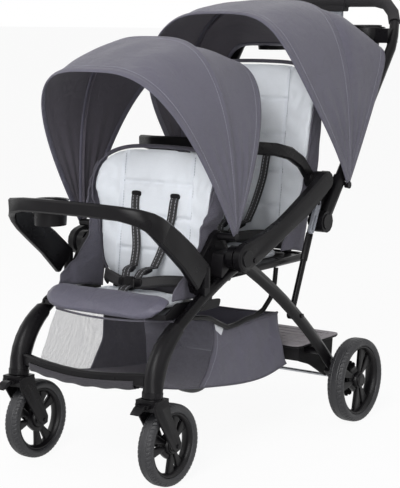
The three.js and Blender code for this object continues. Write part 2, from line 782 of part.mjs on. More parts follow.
for (const { name, s } of SIDES) {
  piece(`${name}_front_leg`, "frame", mirrored(legTube, s));
  piece(`${name}_caster_housing`, "moulding", mirrored(housingBody, s));
}
piece(
  "front_crossbar",
  "moulding",
  cut(
    join(crossbarBody, ...crossbarLugs),
    housingRoom,
    mirroredX(housingRoom),
    block(LEG.x, 2 * LEG.x, -LEG.x, LEG.x, 0, 2 * LEG.x),
    block(-2 * LEG.x, -LEG.x, -LEG.x, LEG.x, 0, 2 * LEG.x),
  ),
);

// Side planes, from inside out: bracket, rear leg, arm cover
const BRACKET_IN = 27;
const BRACKET = {
  inner: LEG.x - BRACKET_IN,
  outer: LEG.x - LEG.radius - SEAT_GAP,
  edge: 1.5,
  corner: 12,
  saddleCorner: 8,
  reach: 54,
};
const REAR_LEG = {
  x: HANDLE_HALF_WIDTH - BESIDE.legIn,
  halfWidth: 9,
  halfDepth: 16,
  bow: 24,
  eyeRadius: 27,
  boreRadius: 12.2,
  plugShare: 0.94,
};
const ARM = {
  inner: HANDLE_HALF_WIDTH - BESIDE.armIn,
  outer: HANDLE_HALF_WIDTH + BESIDE.armOut,
  edge: 4,
  sag: 13,
  hubRadius: 31,
  middleHalf: 23,
  endRadius: 23,
  waistShare: 1.25,
  fadeShare: 0.6,
  endAngle: 8,
};
const BOSS_RADIUS = REAR_LEG.boreRadius - RUN_GAP;
const CANOPY_STUB = { radius: 8.4, y: 209, z: 516, out: ARM.inner - SIDE_GAP };
const TRAY_PIN_OUT = 6;
const TRAY_PIN = {
  x: LEG.x + TRAY_PIN_OUT,
  y: 128,
  radius: 5,
  boreGap: 0.8,
  barrelRadius: 11,
  low: 414.5,
  high: 460,
  lugDepth: 18,
  lugHalf: 10,
  lugOut: 6,
  capDepth: 5,
  tipGap: 1,
  roomAhead: 33,
  roomBelow: 54,
};
const HUB_CAP = { radius: 19, height: 3, buttonRadius: 6.5, buttonHeight: 5, buttonOut: 20 };

// Handle line: from the lower pivot up to the grip
const handleRise = at(0, GRIP.y - LOWER_PIVOT.y, GRIP.z - LOWER_PIVOT.z);
const HANDLE_LENGTH = handleRise.length();
const handleDirection = handleRise.clone().normalize();
const onHandle = (x, along, ahead = 0) =>
  at(x, LOWER_PIVOT.y, LOWER_PIVOT.z)
    .addScaledVector(handleDirection, along)
    .add(at(0, -handleDirection.z * ahead, handleDirection.y * ahead));

// Corners of an outline in y and z, each as a step from a place.
const cornersFrom = (list) => list.map(({ from, y, z }) => [from.y + y, from.z + z]);

const trayFoot = { y: TRAY_PIN.y, z: HUB.z };
const bracketShape = rounded(
  cornersFrom([
    { from: trayFoot, y: 4, z: -78 },
    { from: trayFoot, y: -24, z: -62 },
    { from: trayFoot, y: -10, z: -22 },
    { from: CANOPY_STUB, y: -34, z: -12 },
    { from: CANOPY_STUB, y: -14, z: 14 },
    { from: CANOPY_STUB, y: 14, z: 12 },
    { from: HUB, y: 34, z: 12 },
    { from: HUB, y: BRACKET.reach, z: -20 },
    { from: HUB, y: 52, z: -62 },
    { from: HUB, y: 4, z: -60 },
  ]),
  BRACKET.corner,
);
const legRoom = tube(frontLegCurve, ovalShape(LEG.radius + SEAT_GAP, LEG.radius + SEAT_GAP), LEG_STEPS);
const saddle = plateX(
  rounded(
    cornersFrom([
      { from: HUB, y: -38, z: -44 },
      { from: HUB, y: -30, z: 12 },
      { from: HUB, y: 26, z: 14 },
      { from: HUB, y: 34, z: -26 },
      { from: HUB, y: 2, z: -20 },
    ]),
    BRACKET.saddleCorner,
  ),
  BRACKET.outer,
  REAR_LEG.x - REAR_LEG.halfWidth - SIDE_GAP,
  0,
  2,
);
const bracketBody = cut(
  join(
    plateX(bracketShape, BRACKET.inner, BRACKET.outer, BRACKET.edge, 1),
    saddle,
    pinX(BRACKET.outer - DEEP_SINK, ARM.inner - SEAT_GAP, HUB.y, HUB.z, BOSS_RADIUS),
    pinX(BRACKET.outer - DEEP_SINK, CANOPY_STUB.out, CANOPY_STUB.y, CANOPY_STUB.z, CANOPY_STUB.radius),
    block(
      BRACKET.outer - DEEP_SINK,
      TRAY_PIN.x + TRAY_PIN.lugOut,
      TRAY_PIN.y - TRAY_PIN.lugHalf,
      TRAY_PIN.y + TRAY_PIN.lugHalf,
      TRAY_PIN.low - SEAT_GAP - TRAY_PIN.lugDepth,
      TRAY_PIN.low - SEAT_GAP,
    ),
    pinZ(
      TRAY_PIN.x,
      TRAY_PIN.y,
      TRAY_PIN.low - DEEP_SINK,
      TRAY_PIN.high - TRAY_PIN.capDepth - TRAY_PIN.tipGap,
      TRAY_PIN.radius,
    ),
  ),
  legRoom,
);

// Arm cover with the hub disc, its round cap and its button
const armCurve = bowed(0, HUB, FOLD_PIVOT, -ARM.sag);
function armOutline() {
  const upper = [];
  const lower = [];
  for (const share of evenShares(ARM_STEPS)) {
    const centre = armCurve.getPointAt(share);
    const along = armCurve.getTangentAt(share);
    const waist = Math.sin(Math.PI * Math.min(1, share * ARM.waistShare)) ** 2;
    const drawn = (ARM.hubRadius - ARM.middleHalf) * waist * (1 - share * ARM.fadeShare);
    const half = THREE.MathUtils.lerp(ARM.hubRadius, ARM.endRadius, share) - drawn;
    upper.push([centre.y - along.z * half, centre.z + along.y * half]);
    lower.push([centre.y + along.z * half, centre.z - along.y * half]);
  }
  const round = (centre, radius, from, to) => {
    const points = [];
    for (const share of evenShares(ARM_STEPS).slice(1, -1)) {
      const turn = degrees(THREE.MathUtils.lerp(from, to, share));
      points.push([centre.y + radius * Math.cos(turn), centre.z + radius * Math.sin(turn)]);
    }
    return points;
  };
  const slope = THREE.MathUtils.radToDeg(Math.atan2(FOLD_PIVOT.z - HUB.z, FOLD_PIVOT.y - HUB.y));
  const startSlope = slope - ARM.endAngle;
  const endSlope = slope + ARM.endAngle;
  const points = [
    ...lower,
    ...round(FOLD_PIVOT, ARM.endRadius, endSlope - QUARTER_TURN, endSlope + QUARTER_TURN),
    ...upper.reverse(),
    ...round(HUB, ARM.hubRadius, startSlope + QUARTER_TURN, startSlope + QUARTER_TURN + HALF_TURN),
  ];
  return new THREE.Shape(points.map(([u, v]) => new THREE.Vector2(u, v)));
}
const armBody = join(
  plateX(armOutline(), ARM.inner, ARM.outer, ARM.edge),
  pinX(ARM.outer - SINK, ARM.outer + HUB_CAP.height, HUB.y, HUB.z, HUB_CAP.radius),
  pinX(
    ARM.outer - SINK,
    ARM.outer + HUB_CAP.buttonHeight,
    HUB.y + HUB_CAP.buttonOut + HUB_CAP.buttonRadius,
    HUB.z - HUB_CAP.buttonRadius,
    HUB_CAP.buttonRadius,
    PIN_SIDES,
  ),
);
const EAR = {
  inner: HANDLE_HALF_WIDTH - BESIDE.earIn,
  outer: ARM.inner - SIDE_GAP,
  radius: 21,
  boreRadius: 7.8,
};
const PIVOT_PIN_RADIUS = EAR.boreRadius - RUN_GAP;
const PIVOT_HEAD = { depth: 4, lip: 3 };
const BAR_END = { inner: HANDLE_HALF_WIDTH - BESIDE.capEnd, outer: EAR.inner - SIDE_GAP, radius: 19 };
const armWithPin = join(
  armBody,
  pinX(BAR_END.inner - DEEP_SINK, ARM.inner + DEEP_SINK, FOLD_PIVOT.y, FOLD_PIVOT.z, PIVOT_PIN_RADIUS),
  pinX(
    BAR_END.inner - PIVOT_HEAD.depth,
    BAR_END.inner - SIDE_GAP / 2,
    FOLD_PIVOT.y,
    FOLD_PIVOT.z,
    PIVOT_PIN_RADIUS + PIVOT_HEAD.lip,
  ),
);

for (const { name, s } of SIDES) {
  piece(`${name}_side_bracket`, "moulding", mirrored(bracketBody, s));
  piece(`${name}_arm_cover`, "moulding", mirrored(armWithPin, s));
}

// Rear frame: legs hinged at the hub, crossbar, axle and its housings
const FOOT_STEP = { ahead: 26, up: 10 };
const LEG_FOOT = { y: WHEELBASE - FOOT_STEP.ahead, z: REAR_WHEEL_RADIUS + FOOT_STEP.up };
const rearLegCurve = bowed(REAR_LEG.x, HUB, LEG_FOOT, REAR_LEG.bow);
const REAR_BAR = { y: 604, radius: 10, legShare: 0.82 };
const rearBarSpot = rearLegCurve.getPointAt(REAR_BAR.legShare);
const HOUSING_WALL = 6;
const AXLE_HOUSING = {
  inner: REAR_LEG.x - REAR_LEG.halfWidth - HOUSING_WALL,
  outer: REAR_TRACK_HALF - REAR_TYRE_WIDTH / 2 - SIDE_GAP,
  radius: 22,
  frontShare: 0.6,
  topShare: 1.3,
  heelShare: 1.5,
  heelDropShare: 0.4,
  corner: 11,
};
const legBolt = { radius: 6, proud: 2.4 };
const rearLegBody = cut(
  join(
    tube(rearLegCurve, ovalShape(REAR_LEG.halfWidth, REAR_LEG.halfDepth), REAR_LEG_STEPS),
    pinX(REAR_LEG.x - REAR_LEG.halfWidth, REAR_LEG.x + REAR_LEG.halfWidth, HUB.y, HUB.z, REAR_LEG.eyeRadius),
    pinX(
      REAR_LEG.x - REAR_LEG.halfWidth - RUN_GAP,
      REAR_LEG.x + REAR_LEG.halfWidth + legBolt.proud,
      STRUT_FOOT.y,
      STRUT_FOOT.z,
      legBolt.radius,
      PIN_SIDES,
    ),
  ),
  pinX(0, 2 * REAR_LEG.x, HUB.y, HUB.z, REAR_LEG.boreRadius),
);
const footPlug = rearLegCurve.getPointAt(REAR_LEG.plugShare);
const housingShape = rounded(
  [
    [REAR_AXLE.y - AXLE_HOUSING.radius * AXLE_HOUSING.frontShare, REAR_AXLE.z - AXLE_HOUSING.radius],
    [REAR_AXLE.y + AXLE_HOUSING.radius, REAR_AXLE.z - AXLE_HOUSING.radius],
    [REAR_AXLE.y + AXLE_HOUSING.radius, REAR_AXLE.z + AXLE_HOUSING.radius],
    [footPlug.y + REAR_LEG.halfDepth, footPlug.z + REAR_LEG.halfDepth * AXLE_HOUSING.topShare],
    [
      footPlug.y - REAR_LEG.halfDepth * AXLE_HOUSING.heelShare,
      footPlug.z - REAR_LEG.halfDepth * AXLE_HOUSING.heelDropShare,
    ],
  ],
  AXLE_HOUSING.corner,
);
const PEDAL_STEP = { back: 13, up: 34 };
const PEDAL = {
  y: REAR_AXLE.y + PEDAL_STEP.back,
  z: REAR_AXLE.z + PEDAL_STEP.up,
  pinRadius: 4,
  boreGap: 0.6,
  inner: 174,
  reach: 34,
  thickness: 7,
  lug: 9,
  lugCorner: 6,
  lugInset: 6,
  lugOuterInset: 4,
  pinProud: 3,
  corner: 4,
};
const legFootRoom = tube(
  bowed(REAR_LEG.x, HUB, { y: LEG_FOOT.y + 2 * SEAT_GAP, z: LEG_FOOT.z - 2 * SEAT_GAP }, REAR_LEG.bow),
  ovalShape(REAR_LEG.halfWidth + 2 * SEAT_GAP, REAR_LEG.halfDepth + 2 * SEAT_GAP),
  REAR_LEG_STEPS,
);
const axleHousing = cut(
  join(
    plateX(housingShape, AXLE_HOUSING.inner, AXLE_HOUSING.outer, SOFT_EDGE, 2),
    plateX(
      rounded(
        [
          [PEDAL.y - PEDAL.lug, REAR_AXLE.z],
          [PEDAL.y + PEDAL.lug, REAR_AXLE.z],
          [PEDAL.y + PEDAL.lug, PEDAL.z + PEDAL.lug],
          [PEDAL.y - PEDAL.lug, PEDAL.z + PEDAL.lug],
        ],
        PEDAL.lugCorner,
      ),
      AXLE_HOUSING.inner + PEDAL.lugInset,
      AXLE_HOUSING.outer - PEDAL.lugOuterInset,
      0,
      2,
    ),
    pinX(
      PEDAL.inner - PEDAL.pinProud,
      AXLE_HOUSING.inner + PEDAL.lugInset + SINK,
      PEDAL.y,
      PEDAL.z,
      PEDAL.pinRadius,
      PIN_SIDES,
    ),
  ),
  pinX(0, 2 * REAR_LEG.x, REAR_AXLE.y, REAR_AXLE.z, AXLE_RADIUS + SEAT_GAP, PIN_SIDES),
  legFootRoom,
);
const pedalShape = rounded(
  [
    [PEDAL.y - PEDAL.lug, PEDAL.z - PEDAL.lug],
    [PEDAL.y + PEDAL.lug, PEDAL.z - PEDAL.lug],
    [PEDAL.y + PEDAL.reach, PEDAL.z + 2],
    [PEDAL.y + PEDAL.reach, PEDAL.z + 2 + PEDAL.thickness],
    [PEDAL.y - PEDAL.lug, PEDAL.z + PEDAL.lug],
  ],
  PEDAL.corner,
);
const pedalBody = cut(
  plateX(pedalShape, PEDAL.inner, AXLE_HOUSING.inner - SIDE_GAP, FINE_EDGE, 2),
  pinX(0, 2 * REAR_LEG.x, PEDAL.y, PEDAL.z, PEDAL.pinRadius + PEDAL.boreGap, PIN_SIDES),
);
for (const { name, s } of SIDES) {
  piece(`${name}_rear_leg`, "frame", mirrored(rearLegBody, s));
  piece(`${name}_axle_housing`, "moulding", mirrored(axleHousing, s));
  piece(`${name}_brake_pedal`, "moulding", mirrored(pedalBody, s));
}
piece("rear_axle", "steel", pinX(-AXLE_END, AXLE_END, REAR_AXLE.y, REAR_AXLE.z, AXLE_RADIUS, PIN_SIDES));
const barEnd = REAR_LEG.x - REAR_LEG.halfWidth - SEAT_GAP;
piece(
  "rear_crossbar",
  "frame",
  pinX(-barEnd, barEnd, rearBarSpot.y, rearBarSpot.z, REAR_BAR.radius, TUBE_SIDES),
);

// Standing platform: a ribbed tray that sits on the crossbar and hooks over the axle
const PLATFORM = {
  halfWidth: 176,
  front: 544,
  back: 742,
  top: 206,
  floor: 8,
  skirt: 42,
  wall: 5,
  ribCount: 6,
  ribWidth: 7,
  ribHeight: 2,
  corner: 18,
  skirtCorner: 8,
  edge: 1.5,
};
const deckLow = PLATFORM.top - PLATFORM.floor;
const deckShape = rounded(
  [
    [-PLATFORM.halfWidth, PLATFORM.front],
    [PLATFORM.halfWidth, PLATFORM.front],
    [PLATFORM.halfWidth, PLATFORM.back],
    [-PLATFORM.halfWidth, PLATFORM.back],
  ],
  PLATFORM.corner,
);
const deck = plateZ(deckShape, deckLow, PLATFORM.top, PLATFORM.edge);
const deckRibs = Array.from({ length: PLATFORM.ribCount }, (_, i) => {
  const y = THREE.MathUtils.lerp(PLATFORM.front, PLATFORM.back, (i + 1) / (PLATFORM.ribCount + 1));
  const half = PLATFORM.halfWidth - PLATFORM.corner;
  const ribTop = PLATFORM.top + PLATFORM.ribHeight;
  return block(-half, half, y - PLATFORM.ribWidth / 2, y + PLATFORM.ribWidth / 2, deckLow, ribTop);
});
const skirtShape = rounded(
  [
    [PLATFORM.front + PLATFORM.corner, deckLow + DEEP_SINK],
    [PLATFORM.front + PLATFORM.corner, PLATFORM.top - PLATFORM.skirt],
    [rearBarSpot.y + PLATFORM.corner, PLATFORM.top - PLATFORM.skirt - PLATFORM.corner],
    [REAR_AXLE.y, REAR_AXLE.z - AXLE_RADIUS],
    [REAR_AXLE.y + PLATFORM.corner, REAR_AXLE.z],
    [PLATFORM.back - PLATFORM.corner, deckLow + DEEP_SINK],
  ],
  PLATFORM.skirtCorner,
);
const skirts = [-1, 1].map((t) => {
  const outer = t * (PLATFORM.halfWidth - PLATFORM.wall * 2);
  return plateX(skirtShape, outer, outer - t * PLATFORM.wall, 0, 2);
});
const frontApron = block(
  -PLATFORM.halfWidth + PLATFORM.wall * 2,
  PLATFORM.halfWidth - PLATFORM.wall * 2,
  PLATFORM.front + PLATFORM.corner,
  PLATFORM.front + PLATFORM.corner + PLATFORM.wall,
  PLATFORM.top - PLATFORM.skirt,
  deckLow + SINK,
);
piece(
  "standing_platform",
  "platform",
  cut(
    join(deck, ...deckRibs, ...skirts, frontApron),
    pinX(
      -PLATFORM.halfWidth * 2,
      PLATFORM.halfWidth * 2,
      rearBarSpot.y,
      rearBarSpot.z,
      REAR_BAR.radius + 2 * SEAT_GAP,
      TUBE_SIDES,
    ),
    pinX(
      -PLATFORM.halfWidth * 2,
      PLATFORM.halfWidth * 2,
      REAR_AXLE.y,
      REAR_AXLE.z,
      AXLE_RADIUS + 2 * SEAT_GAP,
      PIN_SIDES,
    ),
  ),
);

// Struts from the lower pivot to the rear legs
const STRUT = {
  topX: HANDLE_HALF_WIDTH - BESIDE.strutIn,
  footX: HANDLE_HALF_WIDTH - BESIDE.footIn,
  halfWidth: 7.5,
  halfDepth: 8,
  eyeRadius: 14,
  eyeHalf: 6,
  boreRadius: 6.8,
  sleeveHalfWidth: 8.2,
  sleeveHalfDepth: 11,
  sleeveStart: 32,
  sleeveEnd: 98,
  footEyeStep: 3,
};
const STRUT_FOOT_FACE = REAR_LEG.x - REAR_LEG.halfWidth - 2 * RUN_GAP;
const strutTop = at(STRUT.topX, LOWER_PIVOT.y, LOWER_PIVOT.z);
const strutFoot = at(STRUT.footX, STRUT_FOOT.y, STRUT_FOOT.z);
const strutDown = strutFoot.clone().sub(strutTop).normalize();
const strutBody = cut(
  join(
    tube(new THREE.LineCurve3(strutTop, strutFoot), ovalShape(STRUT.halfWidth, STRUT.halfDepth), 1),
    tube(
      new THREE.LineCurve3(
        strutTop.clone().addScaledVector(strutDown, STRUT.sleeveStart),
        strutTop.clone().addScaledVector(strutDown, STRUT.sleeveEnd),
      ),
      ovalShape(STRUT.sleeveHalfWidth, STRUT.sleeveHalfDepth),
      1,
    ),
    pinX(
      STRUT.topX - STRUT.eyeHalf,
      STRUT.topX + STRUT.eyeHalf,
      LOWER_PIVOT.y,
      LOWER_PIVOT.z,
      STRUT.eyeRadius,
    ),
    pinX(
      STRUT.footX - STRUT.eyeHalf,
      STRUT_FOOT_FACE,
      STRUT_FOOT.y,
      STRUT_FOOT.z,
      STRUT.eyeRadius - STRUT.footEyeStep,
    ),
  ),
  pinX(0, 2 * STRUT.topX, LOWER_PIVOT.y, LOWER_PIVOT.z, STRUT.boreRadius, PIN_SIDES),
  block(
    STRUT.topX + STRUT.eyeHalf + SEAT_GAP,
    2 * STRUT.topX,
    LOWER_PIVOT.y - LEG.x,
    LOWER_PIVOT.y + LEG.x,
    LOWER_PIVOT.z - STRUT.sleeveStart,
    LOWER_PIVOT.z + LEG.x,
  ),
);

// Canopy pivots and reaches
const CLOTH = { thickness: 2, nest: 2, squareShare: 3.4 };
// The rear hood turns on a stub of each fold housing, close in front of the handle's line.
const HOOD_PIVOT = { along: 115.8, ahead: -14.7 };
const hoodPivot = onHandle(0, HOOD_PIVOT.along, HOOD_PIVOT.ahead);
const FRONT_CANOPY = {
  y: CANOPY_STUB.y,
  z: CANOPY_STUB.z,
  halfWidth: 222,
  taperShare: 0.085,
  innerRadius: 9,
  front: { angle: 122, radius: 437 },
  seam: { angle: 92, radius: 437 },
  rear: { angle: 62, radius: 437 },
};
const REAR_CANOPY = {
  y: hoodPivot.y,
  z: hoodPivot.z,
  halfWidth: HANDLE_HALF_WIDTH + BESIDE.canopy,
  taperShare: 0.05,
  innerRadius: 9,
  front: { angle: 115, radius: 455 },
  seam: { angle: 84, radius: 444 },
  rear: { angle: 52, radius: 396 },
};
// Handle tube: straight sides, wide corners and a straight top
const HANDLE = { radius: 12.5, start: 24, cornerReach: 150, cornerX: 208, barHalf: 128 };
const cornerStart = HANDLE_LENGTH - HANDLE.cornerReach;
const barHalf = HANDLE.barHalf;
const cornerX = HANDLE_HALF_WIDTH;
const handlePath = new THREE.CurvePath();
handlePath.add(
  new THREE.LineCurve3(onHandle(HANDLE_HALF_WIDTH, HANDLE.start), onHandle(cornerX, cornerStart)),
);
handlePath.add(
  new THREE.QuadraticBezierCurve3(
    onHandle(cornerX, cornerStart),
    onHandle(HANDLE.cornerX, HANDLE_LENGTH),
    onHandle(barHalf, HANDLE_LENGTH),
  ),
);
handlePath.add(new THREE.LineCurve3(onHandle(barHalf, HANDLE_LENGTH), onHandle(-barHalf, HANDLE_LENGTH)));
handlePath.add(
  new THREE.QuadraticBezierCurve3(
    onHandle(-barHalf, HANDLE_LENGTH),
    onHandle(-HANDLE.cornerX, HANDLE_LENGTH),
    onHandle(-cornerX, cornerStart),
  ),
);
handlePath.add(
  new THREE.LineCurve3(onHandle(-cornerX, cornerStart), onHandle(-HANDLE_HALF_WIDTH, HANDLE.start)),
);
const handleNormal = onHandle(0, 0, 1).sub(onHandle(0, 0));
const cornerShares = (() => {
  const total = handlePath.getLength();
  const straight = (cornerStart - HANDLE.start) / total;
  const corner = handlePath.curves[1].getLength() / total;
  const steps = ARC_STEPS;
  const shares = [0];
  for (let i = 0; i <= steps; i += 1) shares.push(straight + (corner * i) / steps);
  for (let i = 0; i <= steps; i += 1) shares.push(1 - straight - corner + (corner * i) / steps);
  shares.push(1);
  return shares;
})();
function alongHandle(shares, radius, sides = TUBE_SIDES) {
  return sweep(handlePath, shares, handleNormal, () => ovalRing(radius, radius, sides));
}
// Fold housing: sleeve round the handle tube, round cap at the lower pivot, ear to the fold pivot
const SLEEVE = { radius: 16.5, from: -4, to: 126, earTo: 92 };
const HOOD_STUB = {
  from: HANDLE_HALF_WIDTH + BESIDE.stubFrom,
  to: HANDLE_HALF_WIDTH + BESIDE.stubTo,
  step: 0.4,
};
const CAP = {
  radius: 26,
  inner: HANDLE_HALF_WIDTH - BESIDE.capIn,
  outer: HANDLE_HALF_WIDTH + BESIDE.capOut,
  faceRadius: 19,
  faceHeight: 2.5,
  pinProud: 4,
  eyeRoom: 6,
};
const EAR_OUTLINE = { roundAngle: 150, lowerFrom: 14 };
const earUp = onHandle(0, SLEEVE.earTo);
const earDown = onHandle(0, EAR_OUTLINE.lowerFrom);
const earShape = new THREE.Shape(
  [
    ...evenShares(EAR_OUTLINE_ROUND_STEPS).map((share) => {
      const turn = degrees(HALF_TURN - EAR_OUTLINE.roundAngle * share);
      return [FOLD_PIVOT.y + EAR.radius * Math.cos(turn), FOLD_PIVOT.z + EAR.radius * Math.sin(turn)];
    }),
    [earUp.y, earUp.z],
    [earDown.y, earDown.z],
    ...cornersFrom([
      { from: FOLD_PIVOT, y: -26, z: -96 },
      { from: FOLD_PIVOT, y: -50, z: -52 },
      { from: FOLD_PIVOT, y: -36, z: -30 },
    ]),
  ].map(([u, v]) => new THREE.Vector2(u, v)),
);
const LATCH_PIVOT = { ahead: 20, down: 54 };
const LATCH_TIP = { ahead: 48, down: 114 };
const LATCH_GAP = 1.2;
const LATCH = {
  pivot: { y: FOLD_PIVOT.y - LATCH_PIVOT.ahead, z: FOLD_PIVOT.z - LATCH_PIVOT.down },
  tip: { y: FOLD_PIVOT.y - LATCH_TIP.ahead, z: FOLD_PIVOT.z - LATCH_TIP.down },
  inner: EAR.outer + LATCH_GAP,
  thickness: 8,
  pinRadius: 4,
  boreGap: 0.6,
  headRadius: 10,
  tailRadius: 9,
  slotHalf: 3.5,
  slotFromShare: 0.45,
  slotToShare: 0.98,
};
const sleeveAxis = new THREE.LineCurve3(
  onHandle(HANDLE_HALF_WIDTH, SLEEVE.from),
  onHandle(HANDLE_HALF_WIDTH, SLEEVE.to),
);
const sleeveRoom = alongHandle(cornerShares.slice(0, 2), HANDLE.radius + TUBE_GAP);
const onLower = (xFrom, xTo, radius, sides) =>
  pinX(xFrom, xTo, LOWER_PIVOT.y, LOWER_PIVOT.z, radius, sides);
const onHood = (xFrom, xTo, radius) => pinX(xFrom, xTo, REAR_CANOPY.y, REAR_CANOPY.z, radius);
const strutPin = STRUT.boreRadius - RUN_GAP;
const foldHousing = cut(
  join(
    tube(sleeveAxis, ovalShape(SLEEVE.radius, SLEEVE.radius), 1),
    onHood(HOOD_STUB.from, HOOD_STUB.to, CANOPY_STUB.radius + HOOD_STUB.step),
    onHood(HANDLE_HALF_WIDTH + HANDLE.radius + SINK, HOOD_STUB.to, CANOPY_STUB.radius - 2 * SEAT_GAP),
    onLower(CAP.inner, CAP.outer, CAP.radius),
    onLower(CAP.outer - SINK, CAP.outer + CAP.faceHeight, CAP.faceRadius),
    plateX(earShape, EAR.inner, EAR.outer, FINE_EDGE),
    onLower(STRUT.topX - STRUT.eyeHalf - CAP.pinProud, CAP.inner + DEEP_SINK, strutPin, PIN_SIDES),
    pinX(
      EAR.outer - DEEP_SINK,
      LATCH.inner + LATCH.thickness + DEEP_SINK,
      LATCH.pivot.y,
      LATCH.pivot.z,
      LATCH.pinRadius,
      PIN_SIDES,
    ),
  ),
  sleeveRoom,
  shifted(sleeveRoom, 0, -SEAT_GAP, -SEAT_GAP),
  pinX(0, ARM.inner, FOLD_PIVOT.y, FOLD_PIVOT.z, EAR.boreRadius),
  onLower(0, STRUT.topX + STRUT.eyeHalf + RUN_GAP, STRUT.eyeRadius + CAP.eyeRoom).subtract(
    onLower(0, STRUT.topX * 2, strutPin, PIN_SIDES),
  ),
);

// Grey latch lever: a slotted plate with round ends
function slottedLever() {
  const [a, b] = [LATCH.pivot, LATCH.tip];
  const length = Math.hypot(b.y - a.y, b.z - a.z);
  const [dy, dz] = [(b.y - a.y) / length, (b.z - a.z) / length];
  const spot = (along, across) => [a.y + dy * along - dz * across, a.z + dz * along + dy * across];
  const arc = (along, radius, from, to) =>
    evenShares(ARC_STEPS).map((share) => {
      const turn = degrees(THREE.MathUtils.lerp(from, to, share));
      return spot(along + radius * Math.cos(turn), radius * Math.sin(turn));
    });
  const outline = [
    ...arc(0, LATCH.headRadius, QUARTER_TURN, QUARTER_TURN + HALF_TURN),
    ...arc(length, LATCH.tailRadius, -QUARTER_TURN, QUARTER_TURN),
  ];
  const shape = new THREE.Shape(outline.map(([u, v]) => new THREE.Vector2(u, v)));
  const slot = [
    spot(length * LATCH.slotFromShare, -LATCH.slotHalf),
    spot(length * LATCH.slotToShare, -LATCH.slotHalf),
    spot(length * LATCH.slotToShare, LATCH.slotHalf),
    spot(length * LATCH.slotFromShare, LATCH.slotHalf),
  ];
  shape.holes.push(new THREE.Path(slot.map(([u, v]) => new THREE.Vector2(u, v))));
  return cut(
    plateX(shape, LATCH.inner, LATCH.inner + LATCH.thickness),
    pinX(0, 2 * LATCH.inner, a.y, a.z, LATCH.pinRadius + LATCH.boreGap, PIN_SIDES),
  );
}
const latchBody = slottedLever();

for (const { name, s } of SIDES) {
  piece(`${name}_strut`, "frame", mirrored(strutBody, s));
  piece(`${name}_fold_housing`, "moulding", mirrored(foldHousing, s));
  piece(`${name}_fold_latch`, "latch", mirrored(latchBody, s));
}

// Handle: foam grip with the release housing, trigger and parent tray
piece("handle_tube", "frame", alongHandle(cornerShares, HANDLE.radius));

const FOAM = {
  radius: 15.5,
  cornerShare: 0.42,
  housingHalf: 46,
  housingRadius: 18.5,
  lip: 27,
  lipDepth: 14,
  lipCorner: 5,
  lipInset: 4,
  edge: 1.5,
};
const TRIGGER = {
  halfWidth: 31,
  halfDepth: 8,
  height: 24,
  travel: 6,
  gap: 0.8,
  topGap: 2.4,
  corner: 4,
  edge: 1.5,
};
const foamShares = (() => {
  const total = handlePath.getLength();
  const straight = handlePath.curves[0].getLength() / total;
  const corner = handlePath.curves[1].getLength() / total;
  const first = straight + corner * FOAM.cornerShare;
  const inside = cornerShares.filter((share) => share > first + WELD && share < 1 - first - WELD);
  return [first, ...inside, 1 - first];
})();
const FOAM_GAP = 0.36;
const foamCore = alongHandle(cornerShares, HANDLE.radius + FOAM_GAP);
const gripMiddle = onHandle(0, HANDLE_LENGTH);
const releaseHousing = join(
  pinX(-FOAM.housingHalf, FOAM.housingHalf, gripMiddle.y, gripMiddle.z, FOAM.housingRadius),
  plateX(
    rounded(
      [
        [gripMiddle.y - FOAM.lipDepth, gripMiddle.z],
        [gripMiddle.y - FOAM.lipDepth, gripMiddle.z - FOAM.lip],
        [gripMiddle.y + FOAM.lipDepth, gripMiddle.z - FOAM.lip],
        [gripMiddle.y + FOAM.lipDepth, gripMiddle.z],
      ],
      FOAM.lipCorner,
    ),
    -FOAM.housingHalf + FOAM.lipInset,
    FOAM.housingHalf - FOAM.lipInset,
    FOAM.edge,
    2,
  ),
);
const triggerTop = gripMiddle.z - HANDLE.radius - TRIGGER.travel - TRIGGER.topGap;
const triggerPocket = block(
  -TRIGGER.halfWidth - TRIGGER.gap,
  TRIGGER.halfWidth + TRIGGER.gap,
  gripMiddle.y - TRIGGER.halfDepth - TRIGGER.gap,
  gripMiddle.y + TRIGGER.halfDepth + TRIGGER.gap,
  gripMiddle.z - FOAM.lip - CUT_OVERRUN,
  triggerTop + TRIGGER.travel + TRIGGER.gap,
);
const foamSleeve = alongHandle(foamShares, FOAM.radius);
piece("handle_grip", "foam", cut(join(foamSleeve, releaseHousing), foamCore, triggerPocket));
piece(
  "fold_trigger",
  "latch",
  plateZ(
    rounded(
      [
        [-TRIGGER.halfWidth, gripMiddle.y - TRIGGER.halfDepth],
        [TRIGGER.halfWidth, gripMiddle.y - TRIGGER.halfDepth],
        [TRIGGER.halfWidth, gripMiddle.y + TRIGGER.halfDepth],
        [-TRIGGER.halfWidth, gripMiddle.y + TRIGGER.halfDepth],
      ],
      TRIGGER.corner,
    ),
    triggerTop - TRIGGER.height,
    triggerTop,
    TRIGGER.edge,
  ),
);

